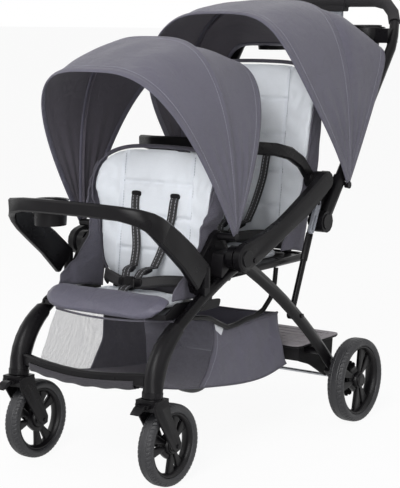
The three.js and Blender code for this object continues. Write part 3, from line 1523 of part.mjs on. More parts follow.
const TRAY_STEP = { ahead: 75, down: 65 };
const TRAY = {
  y: GRIP.y - TRAY_STEP.ahead,
  top: GRIP.z - TRAY_STEP.down,
  depth: 30,
  halfDepth: 50,
  cupX: 136,
  cupRadius: 47,
  cupWall: 4,
  cupDepth: 62,
  rimRadius: 48,
  rimHeight: 4,
  waist: 30,
  pocketHalf: 62,
  pocketDepth: 18,
  clampHeight: 40,
  clampLength: 30,
  clampSink: 8,
  clampInset: 4,
  planCorner: 22,
  pocketInset: 12,
  pocketCorner: 14,
  cupFootShare: 0.84,
};
const trayEnd = HANDLE_HALF_WIDTH - HANDLE.radius / 2;
const trayHalf = trayEnd - TRAY.clampLength;
const cupFoot = TRAY.cupRadius * TRAY.cupFootShare;
const trayPlan = rounded(
  [
    [-trayHalf, TRAY.y - TRAY.waist],
    [-TRAY.cupX, TRAY.y - TRAY.halfDepth],
    [TRAY.cupX, TRAY.y - TRAY.halfDepth],
    [trayHalf, TRAY.y - TRAY.waist],
    [trayHalf, TRAY.y + TRAY.waist],
    [TRAY.cupX, TRAY.y + TRAY.halfDepth],
    [-TRAY.cupX, TRAY.y + TRAY.halfDepth],
    [-trayHalf, TRAY.y + TRAY.waist],
  ],
  TRAY.planCorner,
);
const trayClamps = [-1, 1].map((t) =>
  block(
    t * (trayHalf - TRAY.clampSink),
    t * trayEnd,
    TRAY.y - TRAY.waist + TRAY.clampInset,
    TRAY.y + TRAY.waist - TRAY.clampInset,
    TRAY.top - TRAY.clampHeight,
    TRAY.top - TRAY.clampInset,
  ),
);
const onCup = (t, zFrom, zTo, foot, top) =>
  pinZ(t * TRAY.cupX, TRAY.y, TRAY.top + zFrom, TRAY.top + zTo, foot, top, CUP_STEPS);
const cups = [-1, 1].map((t) =>
  join(
    onCup(t, -TRAY.cupDepth, 0, cupFoot, TRAY.cupRadius),
    onCup(t, -SINK, TRAY.rimHeight, TRAY.rimRadius, TRAY.rimRadius),
  ),
);
const cupHollows = [-1, 1].map((t) =>
  onCup(
    t,
    TRAY.cupWall - TRAY.cupDepth,
    TRAY.rimHeight + CUT_OVERRUN,
    cupFoot - TRAY.cupWall,
    TRAY.cupRadius - TRAY.cupWall,
  ),
);
const pocketHalfDepth = TRAY.halfDepth - TRAY.pocketInset;
const pocket = plateZ(
  rounded(
    [
      [-TRAY.pocketHalf, TRAY.y - pocketHalfDepth],
      [TRAY.pocketHalf, TRAY.y - pocketHalfDepth],
      [TRAY.pocketHalf, TRAY.y + pocketHalfDepth],
      [-TRAY.pocketHalf, TRAY.y + pocketHalfDepth],
    ],
    TRAY.pocketCorner,
  ),
  TRAY.top - TRAY.pocketDepth,
  TRAY.top + CUT_OVERRUN,
);
const tubeRoom = alongHandle(cornerShares, HANDLE.radius + 2 * SEAT_GAP);
const trayBody = plateZ(trayPlan, TRAY.top - TRAY.depth, TRAY.top, SOFT_EDGE);
piece(
  "parent_tray",
  "moulding",
  cut(join(trayBody, ...cups, ...trayClamps), ...cupHollows, pocket, tubeRoom),
);

// Seats

// Places on a leaning back: across, up the back, and forward of its rear face.
function leaning(back) {
  const lean = degrees(back.leanAngle);
  return (x, up, forward) =>
    at(
      x,
      back.y + up * Math.sin(lean) - forward * Math.cos(lean),
      back.z + up * Math.cos(lean) + forward * Math.sin(lean),
    );
}

const BACK = {
  boardThickness: 9,
  padThickness: 26,
  boardGap: 0.5,
  boardInset: 8,
  boardCrown: 6,
  padCrown: 8,
  edge: 7,
  rise: 6,
  padRise: 12,
  waistShare: 0.84,
  shoulderShare: 0.8,
  fullShare: 0.55,
  topShare: 0.7,
  seamShare: 0.55,
  seamWidthShare: 0.12,
  channelShare: 0.68,
};
const BACK_HINGE = {
  forward: 4,
  up: 3,
  pinRadius: 4,
  boreRadius: 4.6,
  barrelRadius: 7.5,
  barrelHalf: 108,
  pinHalf: 122,
  lugFrom: 111,
  lugHalf: 8,
  roomHalf: 17.6,
  roomOut: 180,
};
const hingeOf = (back) => ({ y: back.y - BACK_HINGE.forward, z: back.z + BACK_HINGE.up });
// Half the width of a back at a share of its height: full from about the middle, round at the top.
const halfWidthAt = (share) => {
  const past = Math.max(0, (share - BACK.shoulderShare) / (1 - BACK.shoulderShare));
  const full = THREE.MathUtils.lerp(BACK.waistShare, 1, Math.min(1, share / BACK.fullShare));
  return SEAT_HALF_WIDTH * full * THREE.MathUtils.lerp(1, BACK.topShare, past ** 2.5);
};
function backBoard(back) {
  const place = leaning(back);
  const hinge = hingeOf(back);
  const length = back.height - BACK.rise - BACK.boardInset;
  const across = (u, v) => (2 * u - 1) * (halfWidthAt(v) - BACK.boardInset);
  const up = (u, v) => BACK.rise + v * length + BACK.boardCrown * v * (1 - (2 * u - 1) ** 2);
  const board = skin(
    (u, v) => place(across(u, v), up(u, v), BACK.boardThickness),
    (u, v) => place(across(u, v), up(u, v), 0),
    BACK_STEPS,
    BACK_STEPS,
  );
  const onHinge = (half, radius, sides) => pinX(-half, half, hinge.y, hinge.z, radius, sides);
  const barrel = onHinge(BACK_HINGE.barrelHalf, BACK_HINGE.barrelRadius);
  return cut(join(board, barrel), onHinge(SEAT_HALF_WIDTH, BACK_HINGE.boreRadius, PIN_SIDES));
}
// The fixed half of a backrest hinge: a pin held by two lugs that rise from below.
function hingePin(back, low) {
  const hinge = hingeOf(back);
  const lugs = [-1, 1].map((t) =>
    block(
      t * BACK_HINGE.lugFrom,
      t * BACK_HINGE.pinHalf,
      hinge.y - BACK_HINGE.lugHalf,
      hinge.y + BACK_HINGE.lugHalf,
      low,
      hinge.z + BACK_HINGE.barrelRadius,
    ),
  );
  return join(
    pinX(-BACK_HINGE.pinHalf, BACK_HINGE.pinHalf, hinge.y, hinge.z, BACK_HINGE.pinRadius, PIN_SIDES),
    ...lugs,
  );
}
// Room for the lugs in the board of the same hinge.
function lugRoom(back) {
  const hinge = hingeOf(back);
  const reach = BACK_HINGE.roomHalf;
  return [-1, 1].map((t) =>
    block(
      t * (BACK_HINGE.lugFrom - SIDE_GAP),
      t * BACK_HINGE.roomOut,
      hinge.y - reach,
      hinge.y + reach,
      hinge.z - reach,
      hinge.z + reach,
    ),
  );
}
// A quilted pad: a crown, edges drawn in, level channels and two upright seams.
// How full a pad stands: 1 over its middle, 0 at its edges. Higher powers keep the flat longer.
const fullness = (t, power) => Math.sqrt(Math.max(0, 1 - Math.abs(t) ** power));
function backPad(back) {
  const place = leaning(back);
  const lowest = BACK.boardThickness + BACK.boardGap;
  const length = back.height - BACK.padRise;
  const across = (u, v) => (2 * u - 1) * halfWidthAt(v);
  const up = (u, v) => BACK.padRise + v * length + BACK.padCrown * v * (1 - (2 * u - 1) ** 2);
  const crown = (u, v) => {
    const side = Math.abs(2 * u - 1);
    const round = fullness(side, 4) * fullness(2 * v - 1, 8);
    const channel = Math.sqrt(Math.abs(Math.sin(Math.PI * back.channelCount * v)));
    const seam = Math.min(1, Math.abs(side - BACK.seamShare) / BACK.seamWidthShare);
    const stitched = THREE.MathUtils.lerp(BACK.channelShare, 1, channel * seam);
    return BACK.edge + (BACK.padThickness - BACK.edge) * round * stitched;
  };
  return skin(
    (u, v) => place(across(u, v), up(u, v), lowest + crown(u, v)),
    (u, v) => place(across(u, v), up(u, v), lowest),
    BACK_PAD_STEPS,
    back.channelCount * 2 + 2,
  );
}
for (const { seat, back } of [
  { seat: "front", back: FRONT_SEAT_BACK },
  { seat: "rear", back: REAR_SEAT_BACK },
]) {
  piece(`${seat}_backrest_board`, "darkCloth", cut(backBoard(back), ...lugRoom(back)));
  piece(`${seat}_backrest_pad`, "quilt", cut(backPad(back), ...lugRoom(back)));
}

// Front seat: a board between the leg brackets, a cushion and a calf rest over its front edge
const FRONT_SEAT = {
  boardTop: 366,
  boardThickness: 10,
  front: 10.6,
  back: 204,
  padThickness: 20,
  padEdge: 9,
  cheekHeight: 44,
  cheekThickness: 5,
  cheekRun: 44,
  cheekEnd: 14,
  cheekStep: 8,
  cheekCorner: 6,
  boardCorner: 10,
  padFront: 38,
  padBackGap: 6,
};
const PAD = { widthShare: 0.88, channelShare: 0.75, drawnShare: 0.05, channelCount: 3 };
const cheekX = LEG.x - LEG.radius - SEAT_GAP;
const seatUnderside = FRONT_SEAT.boardTop - FRONT_SEAT.boardThickness;
const seatBoard = join(
  plateZ(
    rounded(
      [
        [-cheekX + DEEP_SINK, FRONT_SEAT.front],
        [cheekX - DEEP_SINK, FRONT_SEAT.front],
        [cheekX - DEEP_SINK, FRONT_SEAT.back],
        [-cheekX + DEEP_SINK, FRONT_SEAT.back],
      ],
      FRONT_SEAT.boardCorner,
    ),
    seatUnderside,
    FRONT_SEAT.boardTop,
  ),
  ...[-1, 1].map((t) =>
    plateX(
      rounded(
        [
          [FRONT_SEAT.front, seatUnderside],
          [FRONT_SEAT.back + FRONT_SEAT.cheekStep, seatUnderside],
          [FRONT_SEAT.back + FRONT_SEAT.cheekEnd, FRONT_SEAT.boardTop + FRONT_SEAT.cheekStep],
          [FRONT_SEAT.front + FRONT_SEAT.cheekRun, FRONT_SEAT.boardTop + FRONT_SEAT.cheekHeight / 2],
          [FRONT_SEAT.front, FRONT_SEAT.boardTop],
        ],
        FRONT_SEAT.cheekCorner,
      ),
      t * cheekX,
      t * (cheekX - FRONT_SEAT.cheekThickness),
      0,
      2,
    ),
  ),
);
piece("front_seat_board", "moulding", join(seatBoard, hingePin(FRONT_SEAT_BACK, seatUnderside)));

// A seat cushion: a crown with cross channels, its sides drawn in a little towards its ends.
function seatPad(front, back, low, thickness, edge) {
  const half = SEAT_HALF_WIDTH * PAD.widthShare;
  const across = (u, v) => (2 * u - 1) * half * (1 - PAD.drawnShare * (2 * v - 1) ** 2);
  const along = (v) => THREE.MathUtils.lerp(front, back, v);
  const crown = (u, v) => {
    const wave = Math.sqrt(Math.abs(Math.sin(Math.PI * PAD.channelCount * v)));
    return fullness(2 * u - 1, 4) * fullness(2 * v - 1, 6) * THREE.MathUtils.lerp(PAD.channelShare, 1, wave);
  };
  return skin(
    (u, v) => at(across(u, v), along(v), low + edge + (thickness - edge) * crown(u, v)),
    (u, v) => at(across(u, v), along(v), low),
    PAD_STEPS,
    PAD.channelCount * 2,
  );
}
piece(
  "front_seat_pad",
  "quilt",
  seatPad(
    FRONT_SEAT.front + FRONT_SEAT.padFront,
    FRONT_SEAT_BACK.y - BACK.boardThickness - BACK.padThickness - FRONT_SEAT.padBackGap,
    FRONT_SEAT.boardTop + SEAT_GAP,
    FRONT_SEAT.padThickness,
    FRONT_SEAT.padEdge,
  ),
);

// The calf rest rolls over the front edge of the seat and hangs in front of it.
const CALF_OUT = 16;
const CALF = {
  halfWidth: SEAT_HALF_WIDTH + CALF_OUT,
  rear: 62,
  centreZ: 340,
  reach: 62,
  rise: 48,
  thickness: 17,
  edge: 6,
  fromAngle: 3,
  toAngle: 80,
  lowerInset: 46,
};
piece(
  "calf_rest",
  "cloth",
  (() => {
    const place = (u, v, lift) => {
      const turn = degrees(THREE.MathUtils.lerp(CALF.fromAngle, CALF.toAngle, v));
      const t = 2 * u - 1;
      return at(
        t * (CALF.halfWidth - CALF.lowerInset * v ** 2.5),
        CALF.rear - (CALF.reach + lift) * Math.sin(turn),
        CALF.centreZ + (CALF.rise + lift) * Math.cos(turn),
      );
    };
    const face = (u, v) => {
      const full = fullness(2 * u - 1, 5) * fullness(2 * v - 1, 6);
      return place(u, v, CALF.edge + (CALF.thickness - CALF.edge) * full);
    };
    return skin(face, (u, v) => place(u, v, 0), CALF_STEPS, CALF_ROW_STEPS);
  })(),
);

// Rear seat: a bent tube from bracket to bracket with a board, and its cushion
const REAR_BACK_STEP = 6;
const RAIL_TUBE = { radius: 8.5, inset: 9 };
const REAR_SEAT = {
  railX: BRACKET.outer - RAIL_TUBE.inset,
  railRadius: RAIL_TUBE.radius,
  railZ: 420,
  railFront: HUB.y + BRACKET.reach,
  back: REAR_SEAT_BACK.y + REAR_BACK_STEP,
  boardFront: 392,
  boardThickness: 8,
  padThickness: 24,
  padEdge: 10,
  corner: 30,
  boardInset: 12,
  boardCorner: 10,
  padFront: 4,
};
const railPath = new THREE.CurvePath();
const railCorner = REAR_SEAT.back - REAR_SEAT.corner;
railPath.add(
  new THREE.LineCurve3(
    at(REAR_SEAT.railX, REAR_SEAT.railFront, REAR_SEAT.railZ),
    at(REAR_SEAT.railX, railCorner, REAR_SEAT.railZ),
  ),
);
railPath.add(
  new THREE.QuadraticBezierCurve3(
    at(REAR_SEAT.railX, railCorner, REAR_SEAT.railZ),
    at(REAR_SEAT.railX, REAR_SEAT.back, REAR_SEAT.railZ),
    at(REAR_SEAT.railX - REAR_SEAT.corner, REAR_SEAT.back, REAR_SEAT.railZ),
  ),
);
railPath.add(
  new THREE.LineCurve3(
    at(REAR_SEAT.railX - REAR_SEAT.corner, REAR_SEAT.back, REAR_SEAT.railZ),
    at(0, REAR_SEAT.back, REAR_SEAT.railZ),
  ),
);
const railShares = (() => {
  const total = railPath.getLength();
  const first = railPath.curves[0].getLength() / total;
  const bend = railPath.curves[1].getLength() / total;
  return [0, ...evenShares(REAR_SEAT_BEND_STEPS).map((share) => first + bend * share), 1];
})();
const railRing = ovalRing(REAR_SEAT.railRadius, REAR_SEAT.railRadius, RAIL_TUBE_SIDES);
const halfRail = sweep(railPath, railShares, AXES.z, () => railRing);
const rearBoard = plateZ(
  rounded(
    [
      [-REAR_SEAT.railX, REAR_SEAT.boardFront],
      [REAR_SEAT.railX, REAR_SEAT.boardFront],
      [REAR_SEAT.railX, REAR_SEAT.back - REAR_SEAT.boardInset],
      [-REAR_SEAT.railX, REAR_SEAT.back - REAR_SEAT.boardInset],
    ],
    REAR_SEAT.boardCorner,
  ),
  REAR_SEAT.railZ - REAR_SEAT.boardThickness / 2,
  REAR_SEAT.railZ + REAR_SEAT.boardThickness / 2,
);
const railMiddle = pinX(-SINK, SINK, REAR_SEAT.back, REAR_SEAT.railZ, REAR_SEAT.railRadius, RAIL_TUBE_SIDES);
piece(
  "rear_seat_frame",
  "frame",
  join(halfRail, mirroredX(halfRail), rearBoard, railMiddle, hingePin(REAR_SEAT_BACK, REAR_SEAT.railZ)),
);
piece(
  "rear_seat_pad",
  "quilt",
  seatPad(
    REAR_SEAT.boardFront + REAR_SEAT.padFront,
    REAR_SEAT_BACK.y - BACK.boardThickness - BACK.padThickness - FRONT_SEAT.padBackGap,
    REAR_SEAT.railZ + REAR_SEAT.boardThickness / 2 + SEAT_GAP,
    REAR_SEAT.padThickness,
    REAR_SEAT.padEdge,
  ),
);

// Basket rails: from the front seat's side down, along the basket's top and up to the rear seat's rail
const RAIL_IN = 23;
const RAIL = {
  x: LEG.x - RAIL_IN,
  radius: 6,
  start: 66,
  dipY: 257,
  dipZ: 300,
  fall: 32,
  fallRun: 70,
  rearY: 392,
  rearZ: 312,
  riseRun: 60,
  riseStep: 5,
  topY: 458,
  topRun: 14,
  topRise: 40,
};
const basketRail = (() => {
  const curve = new THREE.CatmullRomCurve3(
    [
      at(RAIL.x, FRONT_SEAT.front + RAIL.start, seatUnderside - RAIL.radius),
      at(RAIL.x, RAIL.dipY - RAIL.fallRun, RAIL.dipZ + RAIL.fall),
      at(RAIL.x, RAIL.dipY, RAIL.dipZ),
      at(RAIL.x, RAIL.rearY - RAIL.riseRun, RAIL.rearZ - RAIL.riseStep),
      at(RAIL.x, RAIL.rearY, RAIL.rearZ),
      at(RAIL.x, RAIL.topY - RAIL.topRun, RAIL.rearZ + RAIL.topRise),
      at(RAIL.x, RAIL.topY, REAR_SEAT.railZ - REAR_SEAT.railRadius - SIDE_GAP),
    ],
    false,
    "centripetal",
  );
  const ring = ovalRing(RAIL.radius, RAIL.radius, RAIL_SIDES);
  return sweep(curve, evenShares(RAIL_STEPS), AXES.x, () => ring);
})();
for (const { name, s } of SIDES) piece(`${name}_basket_rail`, "frame", mirrored(basketRail, s));

// Basket: an open-topped cloth tray under both seats
const BASKET = {
  halfWidth: RAIL.x - RAIL.radius * Math.cos(Math.PI / RAIL_SIDES) - SEAT_GAP,
  wall: 3,
  corner: 9,
  frontTop: { y: -34, z: 346 },
  frontLow: { y: -28, z: 214 },
  frontSag: { y: 95, z: 190 },
  rearSag: { y: 330, z: 155 },
  rearLow: { y: 496, z: 153 },
  rearLip: { y: 524, z: 167 },
  rearTop: { y: 460, z: 303 },
  midTop: { y: 392, z: 302 },
  dipTop: { y: RAIL.dipY, z: RAIL.dipZ },
  seatTop: { y: 110, z: 338 },
  mouthRise: 40,
};
const placed = ({ y, z }, back = 0, up = 0) => [y + back, z + up];
const basketOutline = [
  placed(BASKET.frontTop),
  placed(BASKET.frontLow),
  placed(BASKET.frontSag),
  placed(BASKET.rearSag),
  placed(BASKET.rearLow),
  placed(BASKET.rearLip),
  placed(BASKET.rearTop),
  placed(BASKET.midTop),
  placed(BASKET.dipTop),
  placed(BASKET.seatTop),
];
const basketInner = [
  placed(BASKET.frontTop, BASKET.wall, BASKET.mouthRise),
  placed(BASKET.frontLow, BASKET.wall, BASKET.wall),
  placed(BASKET.frontSag, 0, BASKET.wall),
  placed(BASKET.rearSag, 0, BASKET.wall),
  placed(BASKET.rearLow, -BASKET.wall / 2, BASKET.wall),
  placed(BASKET.rearLip, -BASKET.wall, BASKET.wall / 2),
  placed(BASKET.rearTop, -BASKET.wall, BASKET.mouthRise),
];
const basketHollowHalf = BASKET.halfWidth - BASKET.wall;
piece(
  "basket",
  "cloth",
  cut(
    plateX(rounded(basketOutline, BASKET.corner), -BASKET.halfWidth, BASKET.halfWidth, 0, 2),
    plateX(rounded(basketInner, BASKET.corner - SINK), -basketHollowHalf, basketHollowHalf, 0, 2),
  ),
);

// Front tray: a moulded bar round the child with a cup holder, hinged on an upright pin at the right arm
const FRONT_TRAY = {
  halfWidth: TRAY_PIN.x,
  frontY: -88,
  frontZ: 594,
  endY: TRAY_PIN.y,
  frontHalfHeight: 15,
  armHalfHeight: 27,
  endHalfHeight: 34,
  halfThickness: 9,
  chamfer: 4,
  cupX: -96,
  cupY: -46,
  cupRadius: 39,
  cupDepth: 46,
  cupWall: 4,
  cupRise: 8,
  cupFootShare: 0.9,
  cupNeckHalf: 20,
  cupNeckDepth: 12,
  armShare: 0.2,
  frontShare: 0.32,
  drawnShare: 0.045,
  legRoom: 2.1,
};
// Half of the bar's middle line, from the hinge end forward: out from the pin's x, and y and z
const trayHalfCurve = [
  { out: 0, y: 112, z: 440 },
  { out: 2, y: 62, z: 486 },
  { out: 3, y: -8, z: 538 },
  { out: -4, y: -62, z: 577 },
  { out: -34, y: -90, z: 592 },
  { out: -97, y: -96, z: 596 },
].map(({ out, y, z }) => at(FRONT_TRAY.halfWidth + out, y, z));
const TRAY_FRONT = { y: -98, z: 597 };
const trayCurve = new THREE.CatmullRomCurve3(
  [
    ...trayHalfCurve,
    at(0, TRAY_FRONT.y, TRAY_FRONT.z),
    ...trayHalfCurve.map((p) => at(-p.x, p.y, p.z)).reverse(),
  ],
  false,
  "centripetal",
);
// Shares of the bar's length, closer together at its two corners
const trayShares = evenShares(FRONT_TRAY_STEPS).map(
  (share) => share + FRONT_TRAY.drawnShare * Math.sin(2 * Math.PI * 2 * share),
);
const frontTrayBar = sweep(trayCurve, trayShares, AXES.z, (share) => {
  const { armShare, frontShare, endHalfHeight, armHalfHeight, frontHalfHeight } = FRONT_TRAY;
  const fromEnd = Math.min(share, 1 - share);
  const arm = THREE.MathUtils.lerp(endHalfHeight, armHalfHeight, Math.min(1, fromEnd / armShare));
  const turned = THREE.MathUtils.clamp((fromEnd - armShare) / (frontShare - armShare), 0, 1);
  const high = THREE.MathUtils.lerp(arm, frontHalfHeight, turned);
  return barRing(high, FRONT_TRAY.halfThickness, FRONT_TRAY.chamfer);
});
const { cupX, cupY, cupRadius, cupWall, cupRise, cupDepth, cupFootShare, cupNeckHalf } = FRONT_TRAY;
const cupFloor = FRONT_TRAY.frontZ - cupDepth;
const cupTop = FRONT_TRAY.frontZ + cupRise;
const trayCup = cut(
  join(
    pinZ(cupX, cupY, cupFloor, cupTop, cupRadius * cupFootShare, cupRadius, WHEEL_STEPS),
    block(
      cupX - cupNeckHalf,
      cupX + cupNeckHalf,
      FRONT_TRAY.frontY,
      cupY,
      FRONT_TRAY.frontZ - FRONT_TRAY.cupNeckDepth,
      cupTop,
    ),
  ),
  pinZ(
    cupX,
    cupY,
    cupFloor + cupWall,
    cupTop + CUT_OVERRUN,
    cupRadius * cupFootShare - cupWall,
    cupRadius - cupWall,
    WHEEL_STEPS,
  ),
);
const roomRadius = LEG.radius + FRONT_TRAY.legRoom;
const roomTube = tube(frontLegCurve, ovalShape(roomRadius, roomRadius), LEG_STEPS);
const legClear = [-1, 1].map((t) => mirrored(roomTube, t));
const trayBarrels = [-1, 1].map((t) =>
  pinZ(t * TRAY_PIN.x, TRAY_PIN.y, TRAY_PIN.low, TRAY_PIN.high, TRAY_PIN.barrelRadius),
);
const pinRoom = TRAY_PIN.radius + TRAY_PIN.boreGap;
const trayBores = [-1, 1].map((t) =>
  pinZ(t * TRAY_PIN.x, TRAY_PIN.y, TRAY_PIN.low - CUT_OVERRUN, TRAY_PIN.high - TRAY_PIN.capDepth, pinRoom),
);
// The left barrel is open at the back, so that the tray can leave its pin.
const trayMouth = block(
  TRAY_PIN.x - pinRoom,
  TRAY_PIN.x + pinRoom,
  TRAY_PIN.y,
  TRAY_PIN.y + TRAY_PIN.barrelRadius * 2,
  TRAY_PIN.low - CUT_OVERRUN,
  TRAY_PIN.high - TRAY_PIN.capDepth,
);
const trayLugRoom = [-1, 1].map((t) =>
  block(
    t * (BRACKET.outer - SIDE_GAP),
    t * (TRAY_PIN.x + TRAY_PIN.barrelRadius * 2),
    TRAY_PIN.y - TRAY_PIN.roomAhead,
    TRAY_PIN.y + TRAY_PIN.barrelRadius * 2,
    TRAY_PIN.low - TRAY_PIN.roomBelow,
    TRAY_PIN.low,
  ),
);
piece(
  "front_tray",
  "moulding",
  cut(join(frontTrayBar, trayCup, ...trayBarrels), ...legClear, ...trayBores, trayMouth, ...trayLugRoom),
);

// Rear belly bar: hinged on the fold pivot's pins, inside the ears
const BELLY = {
  reach: 214,
  rise: 90,
  halfHeight: 15,
  halfThickness: 8,
  chamfer: 4,
  armX: HANDLE_HALF_WIDTH - BESIDE.barIn,
};
// Half of the bar's middle line: in from the arm's x, and back and up from the fold pivot
const bellyHalf = [
  { inward: 0, y: -6, z: 6 },
  { inward: 0, y: -50, z: 48 },
  { inward: 1, y: -110, z: 74 },
  { inward: 14, y: -172, z: 85 },
  { inward: 66, y: -208, z: 88 },
].map(({ inward, y, z }) => at(BELLY.armX - inward, FOLD_PIVOT.y + y, FOLD_PIVOT.z + z));
const bellyCurve = new THREE.CatmullRomCurve3(
  [
    ...bellyHalf,
    at(0, FOLD_PIVOT.y - BELLY.reach, FOLD_PIVOT.z + BELLY.rise),
    ...bellyHalf.map((p) => at(-p.x, p.y, p.z)).reverse(),
  ],
  false,
  "centripetal",
);
const bellyRing = barRing(BELLY.halfHeight, BELLY.halfThickness, BELLY.chamfer);
const onFold = (xFrom, xTo, radius) => pinX(xFrom, xTo, FOLD_PIVOT.y, FOLD_PIVOT.z, radius);
piece(
  "rear_belly_bar",
  "moulding",
  cut(
    join(
      sweep(bellyCurve, evenShares(BELLY_STEPS), AXES.z, () => bellyRing),
      ...[-1, 1].map((t) => onFold(t * BAR_END.inner, t * BAR_END.outer, BAR_END.radius)),
    ),
    onFold(-ARM.outer, ARM.outer, EAR.boreRadius),
  ),
);

// Canopies: each has a rear panel fixed to its carrier and a front panel that folds back over it
function canopyPanel(canopy, from, to, inset) {
  const place = (u, v, deep) => {
    const start = canopy.innerRadius / canopy.seam.radius;
    const turn = THREE.MathUtils.lerp(start, Math.PI - start, u);
    const [c, s] = [Math.cos(turn), Math.sin(turn)];
    const power = CLOTH.squareShare;
    const square = (Math.abs(c) ** power + Math.abs(s) ** power) ** (-1 / power);
    const angle = degrees(THREE.MathUtils.lerp(from.angle, to.angle, v));
    const radius = THREE.MathUtils.lerp(from.radius, to.radius, v);
    const sink = inset + deep;
    const reach = s * square;
    const out = Math.max(reach * (radius - sink), 1);
    return at(
      c * square * (canopy.halfWidth - sink) * (1 - canopy.taperShare * reach ** 2),
      canopy.y + out * Math.cos(angle),
      canopy.z + out * Math.sin(angle),
    );
  };
  return skin(
    (u, v) => place(u, v, 0),
    (u, v) => place(u, v, CLOTH.thickness),
    CLOTH_STEPS,
    CLOTH_ROW_STEPS,
  );
}
const nested = CLOTH.thickness + CLOTH.nest;
for (const [name, canopy, room] of [
  ["front_canopy", FRONT_CANOPY, []],
  ["rear_canopy", REAR_CANOPY, [tubeRoom]],
]) {
  piece(`${name}_hood`, "cloth", canopyPanel(canopy, canopy.front, canopy.seam, 0));
  piece(`${name}_back`, "cloth", cut(canopyPanel(canopy, canopy.seam, canopy.rear, nested), ...room));
}

// Harnesses: shoulder and lap webbing down to a buckle
const STRAP = {
  halfWidth: 12.5,
  halfThickness: 1.3,
  stand: 3,
  topX: 52,
  middleX: 46,
  lowX: 34,
  nearX: 20,
  endX: 14,
  middleStand: 4,
  lowStand: 12,
  middleShare: 0.5,
  lowShare: 0.22,
  nearBack: 22,
};
const LAP_BELT = { inset: 14, back: 34, rise: 16, middleX: 72.6, middleBack: 18, middleRise: 13, endX: 16 };
const LAP_FACE = { up: 3, over: 4 };
const BUCKLE = { halfWidth: 24, depth: 30, height: 13, stand: 3.2, ahead: 52, corner: 8 };
function harness(back, topShare, padTop) {
  const place = leaning(back);
  const padHalf = SEAT_HALF_WIDTH * PAD.widthShare;
  const ahead = BACK.boardThickness + BACK.boardGap + BACK.padThickness + STRAP.stand;
  const buckleY = back.y - BACK.boardThickness - BACK.padThickness - BUCKLE.ahead;
  const buckleZ = padTop + BUCKLE.stand;
  const buckleMiddle = buckleZ + BUCKLE.height / 2;
  const buckle = plateZ(
    rounded(
      [
        [-BUCKLE.halfWidth, buckleY - BUCKLE.depth / 2],
        [BUCKLE.halfWidth, buckleY - BUCKLE.depth / 2],
        [BUCKLE.halfWidth, buckleY + BUCKLE.depth / 2],
        [-BUCKLE.halfWidth, buckleY + BUCKLE.depth / 2],
      ],
      BUCKLE.corner,
    ),
    buckleZ,
    buckleZ + BUCKLE.height,
    SOFT_EDGE,
    2,
  );
  const [w, h] = [STRAP.halfWidth, STRAP.halfThickness];
  const section = [
    [w, -h],
    [w, h],
    [-w, h],
    [-w, -h],
  ];
  const ribbon = (points, side) => {
    const curve = new THREE.CatmullRomCurve3(points, false, "centripetal");
    return sweep(curve, evenShares(STRAP_STEPS), side, () => section);
  };
  const straps = [-1, 1].flatMap((t) => {
    const top = back.height * topShare;
    const shoulder = [
      place(t * STRAP.topX, top, ahead),
      place(t * STRAP.middleX, top * STRAP.middleShare, ahead + STRAP.middleStand),
      place(t * STRAP.lowX, top * STRAP.lowShare, ahead + STRAP.lowStand),
      at(t * STRAP.nearX, buckleY + STRAP.nearBack, buckleZ + BUCKLE.height),
      at(t * STRAP.endX, buckleY, buckleMiddle),
    ];
    const lap = [
      at(t * (padHalf - LAP_BELT.inset), buckleY + LAP_BELT.back, padTop + LAP_BELT.rise),
      at(t * LAP_BELT.middleX, buckleY + LAP_BELT.middleBack, padTop + LAP_BELT.middleRise),
      at(t * LAP_BELT.endX, buckleY, buckleMiddle),
    ];
    return [ribbon(shoulder, AXES.x), ribbon(lap, at(0, LAP_FACE.up, LAP_FACE.over).normalize())];
  });
  return join(buckle, ...straps);
}
const HARNESS = { frontShare: 0.7, rearShare: 0.62 };
const frontPadTop = FRONT_SEAT.boardTop + FRONT_SEAT.padThickness;
const rearPadTop = REAR_SEAT.railZ + REAR_SEAT.boardThickness / 2 + REAR_SEAT.padThickness;
const frontHarness = harness(FRONT_SEAT_BACK, HARNESS.frontShare, frontPadTop + SEAT_GAP);
const rearHarness = harness(REAR_SEAT_BACK, HARNESS.rearShare, rearPadTop - BUCKLE.stand / 2);
piece("front_harness", "webbing", frontHarness);
piece("rear_harness", "webbing", rearHarness);

// The frame of the part: its origin is the bottom centre of the whole
const whole = new THREE.Box3().setFromObject(stroller);
const middle = whole.getCenter(new THREE.Vector3());
stroller.children.forEach((mesh) => mesh.position.set(-middle.x, -middle.y, -whole.min.z));

export default stroller;
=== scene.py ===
"""Sit and stand stroller: cloth, padding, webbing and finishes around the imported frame.

Places are in millimetres from the front axle line, x to the child's left, y rearwards and z up.
"""

import json
import math

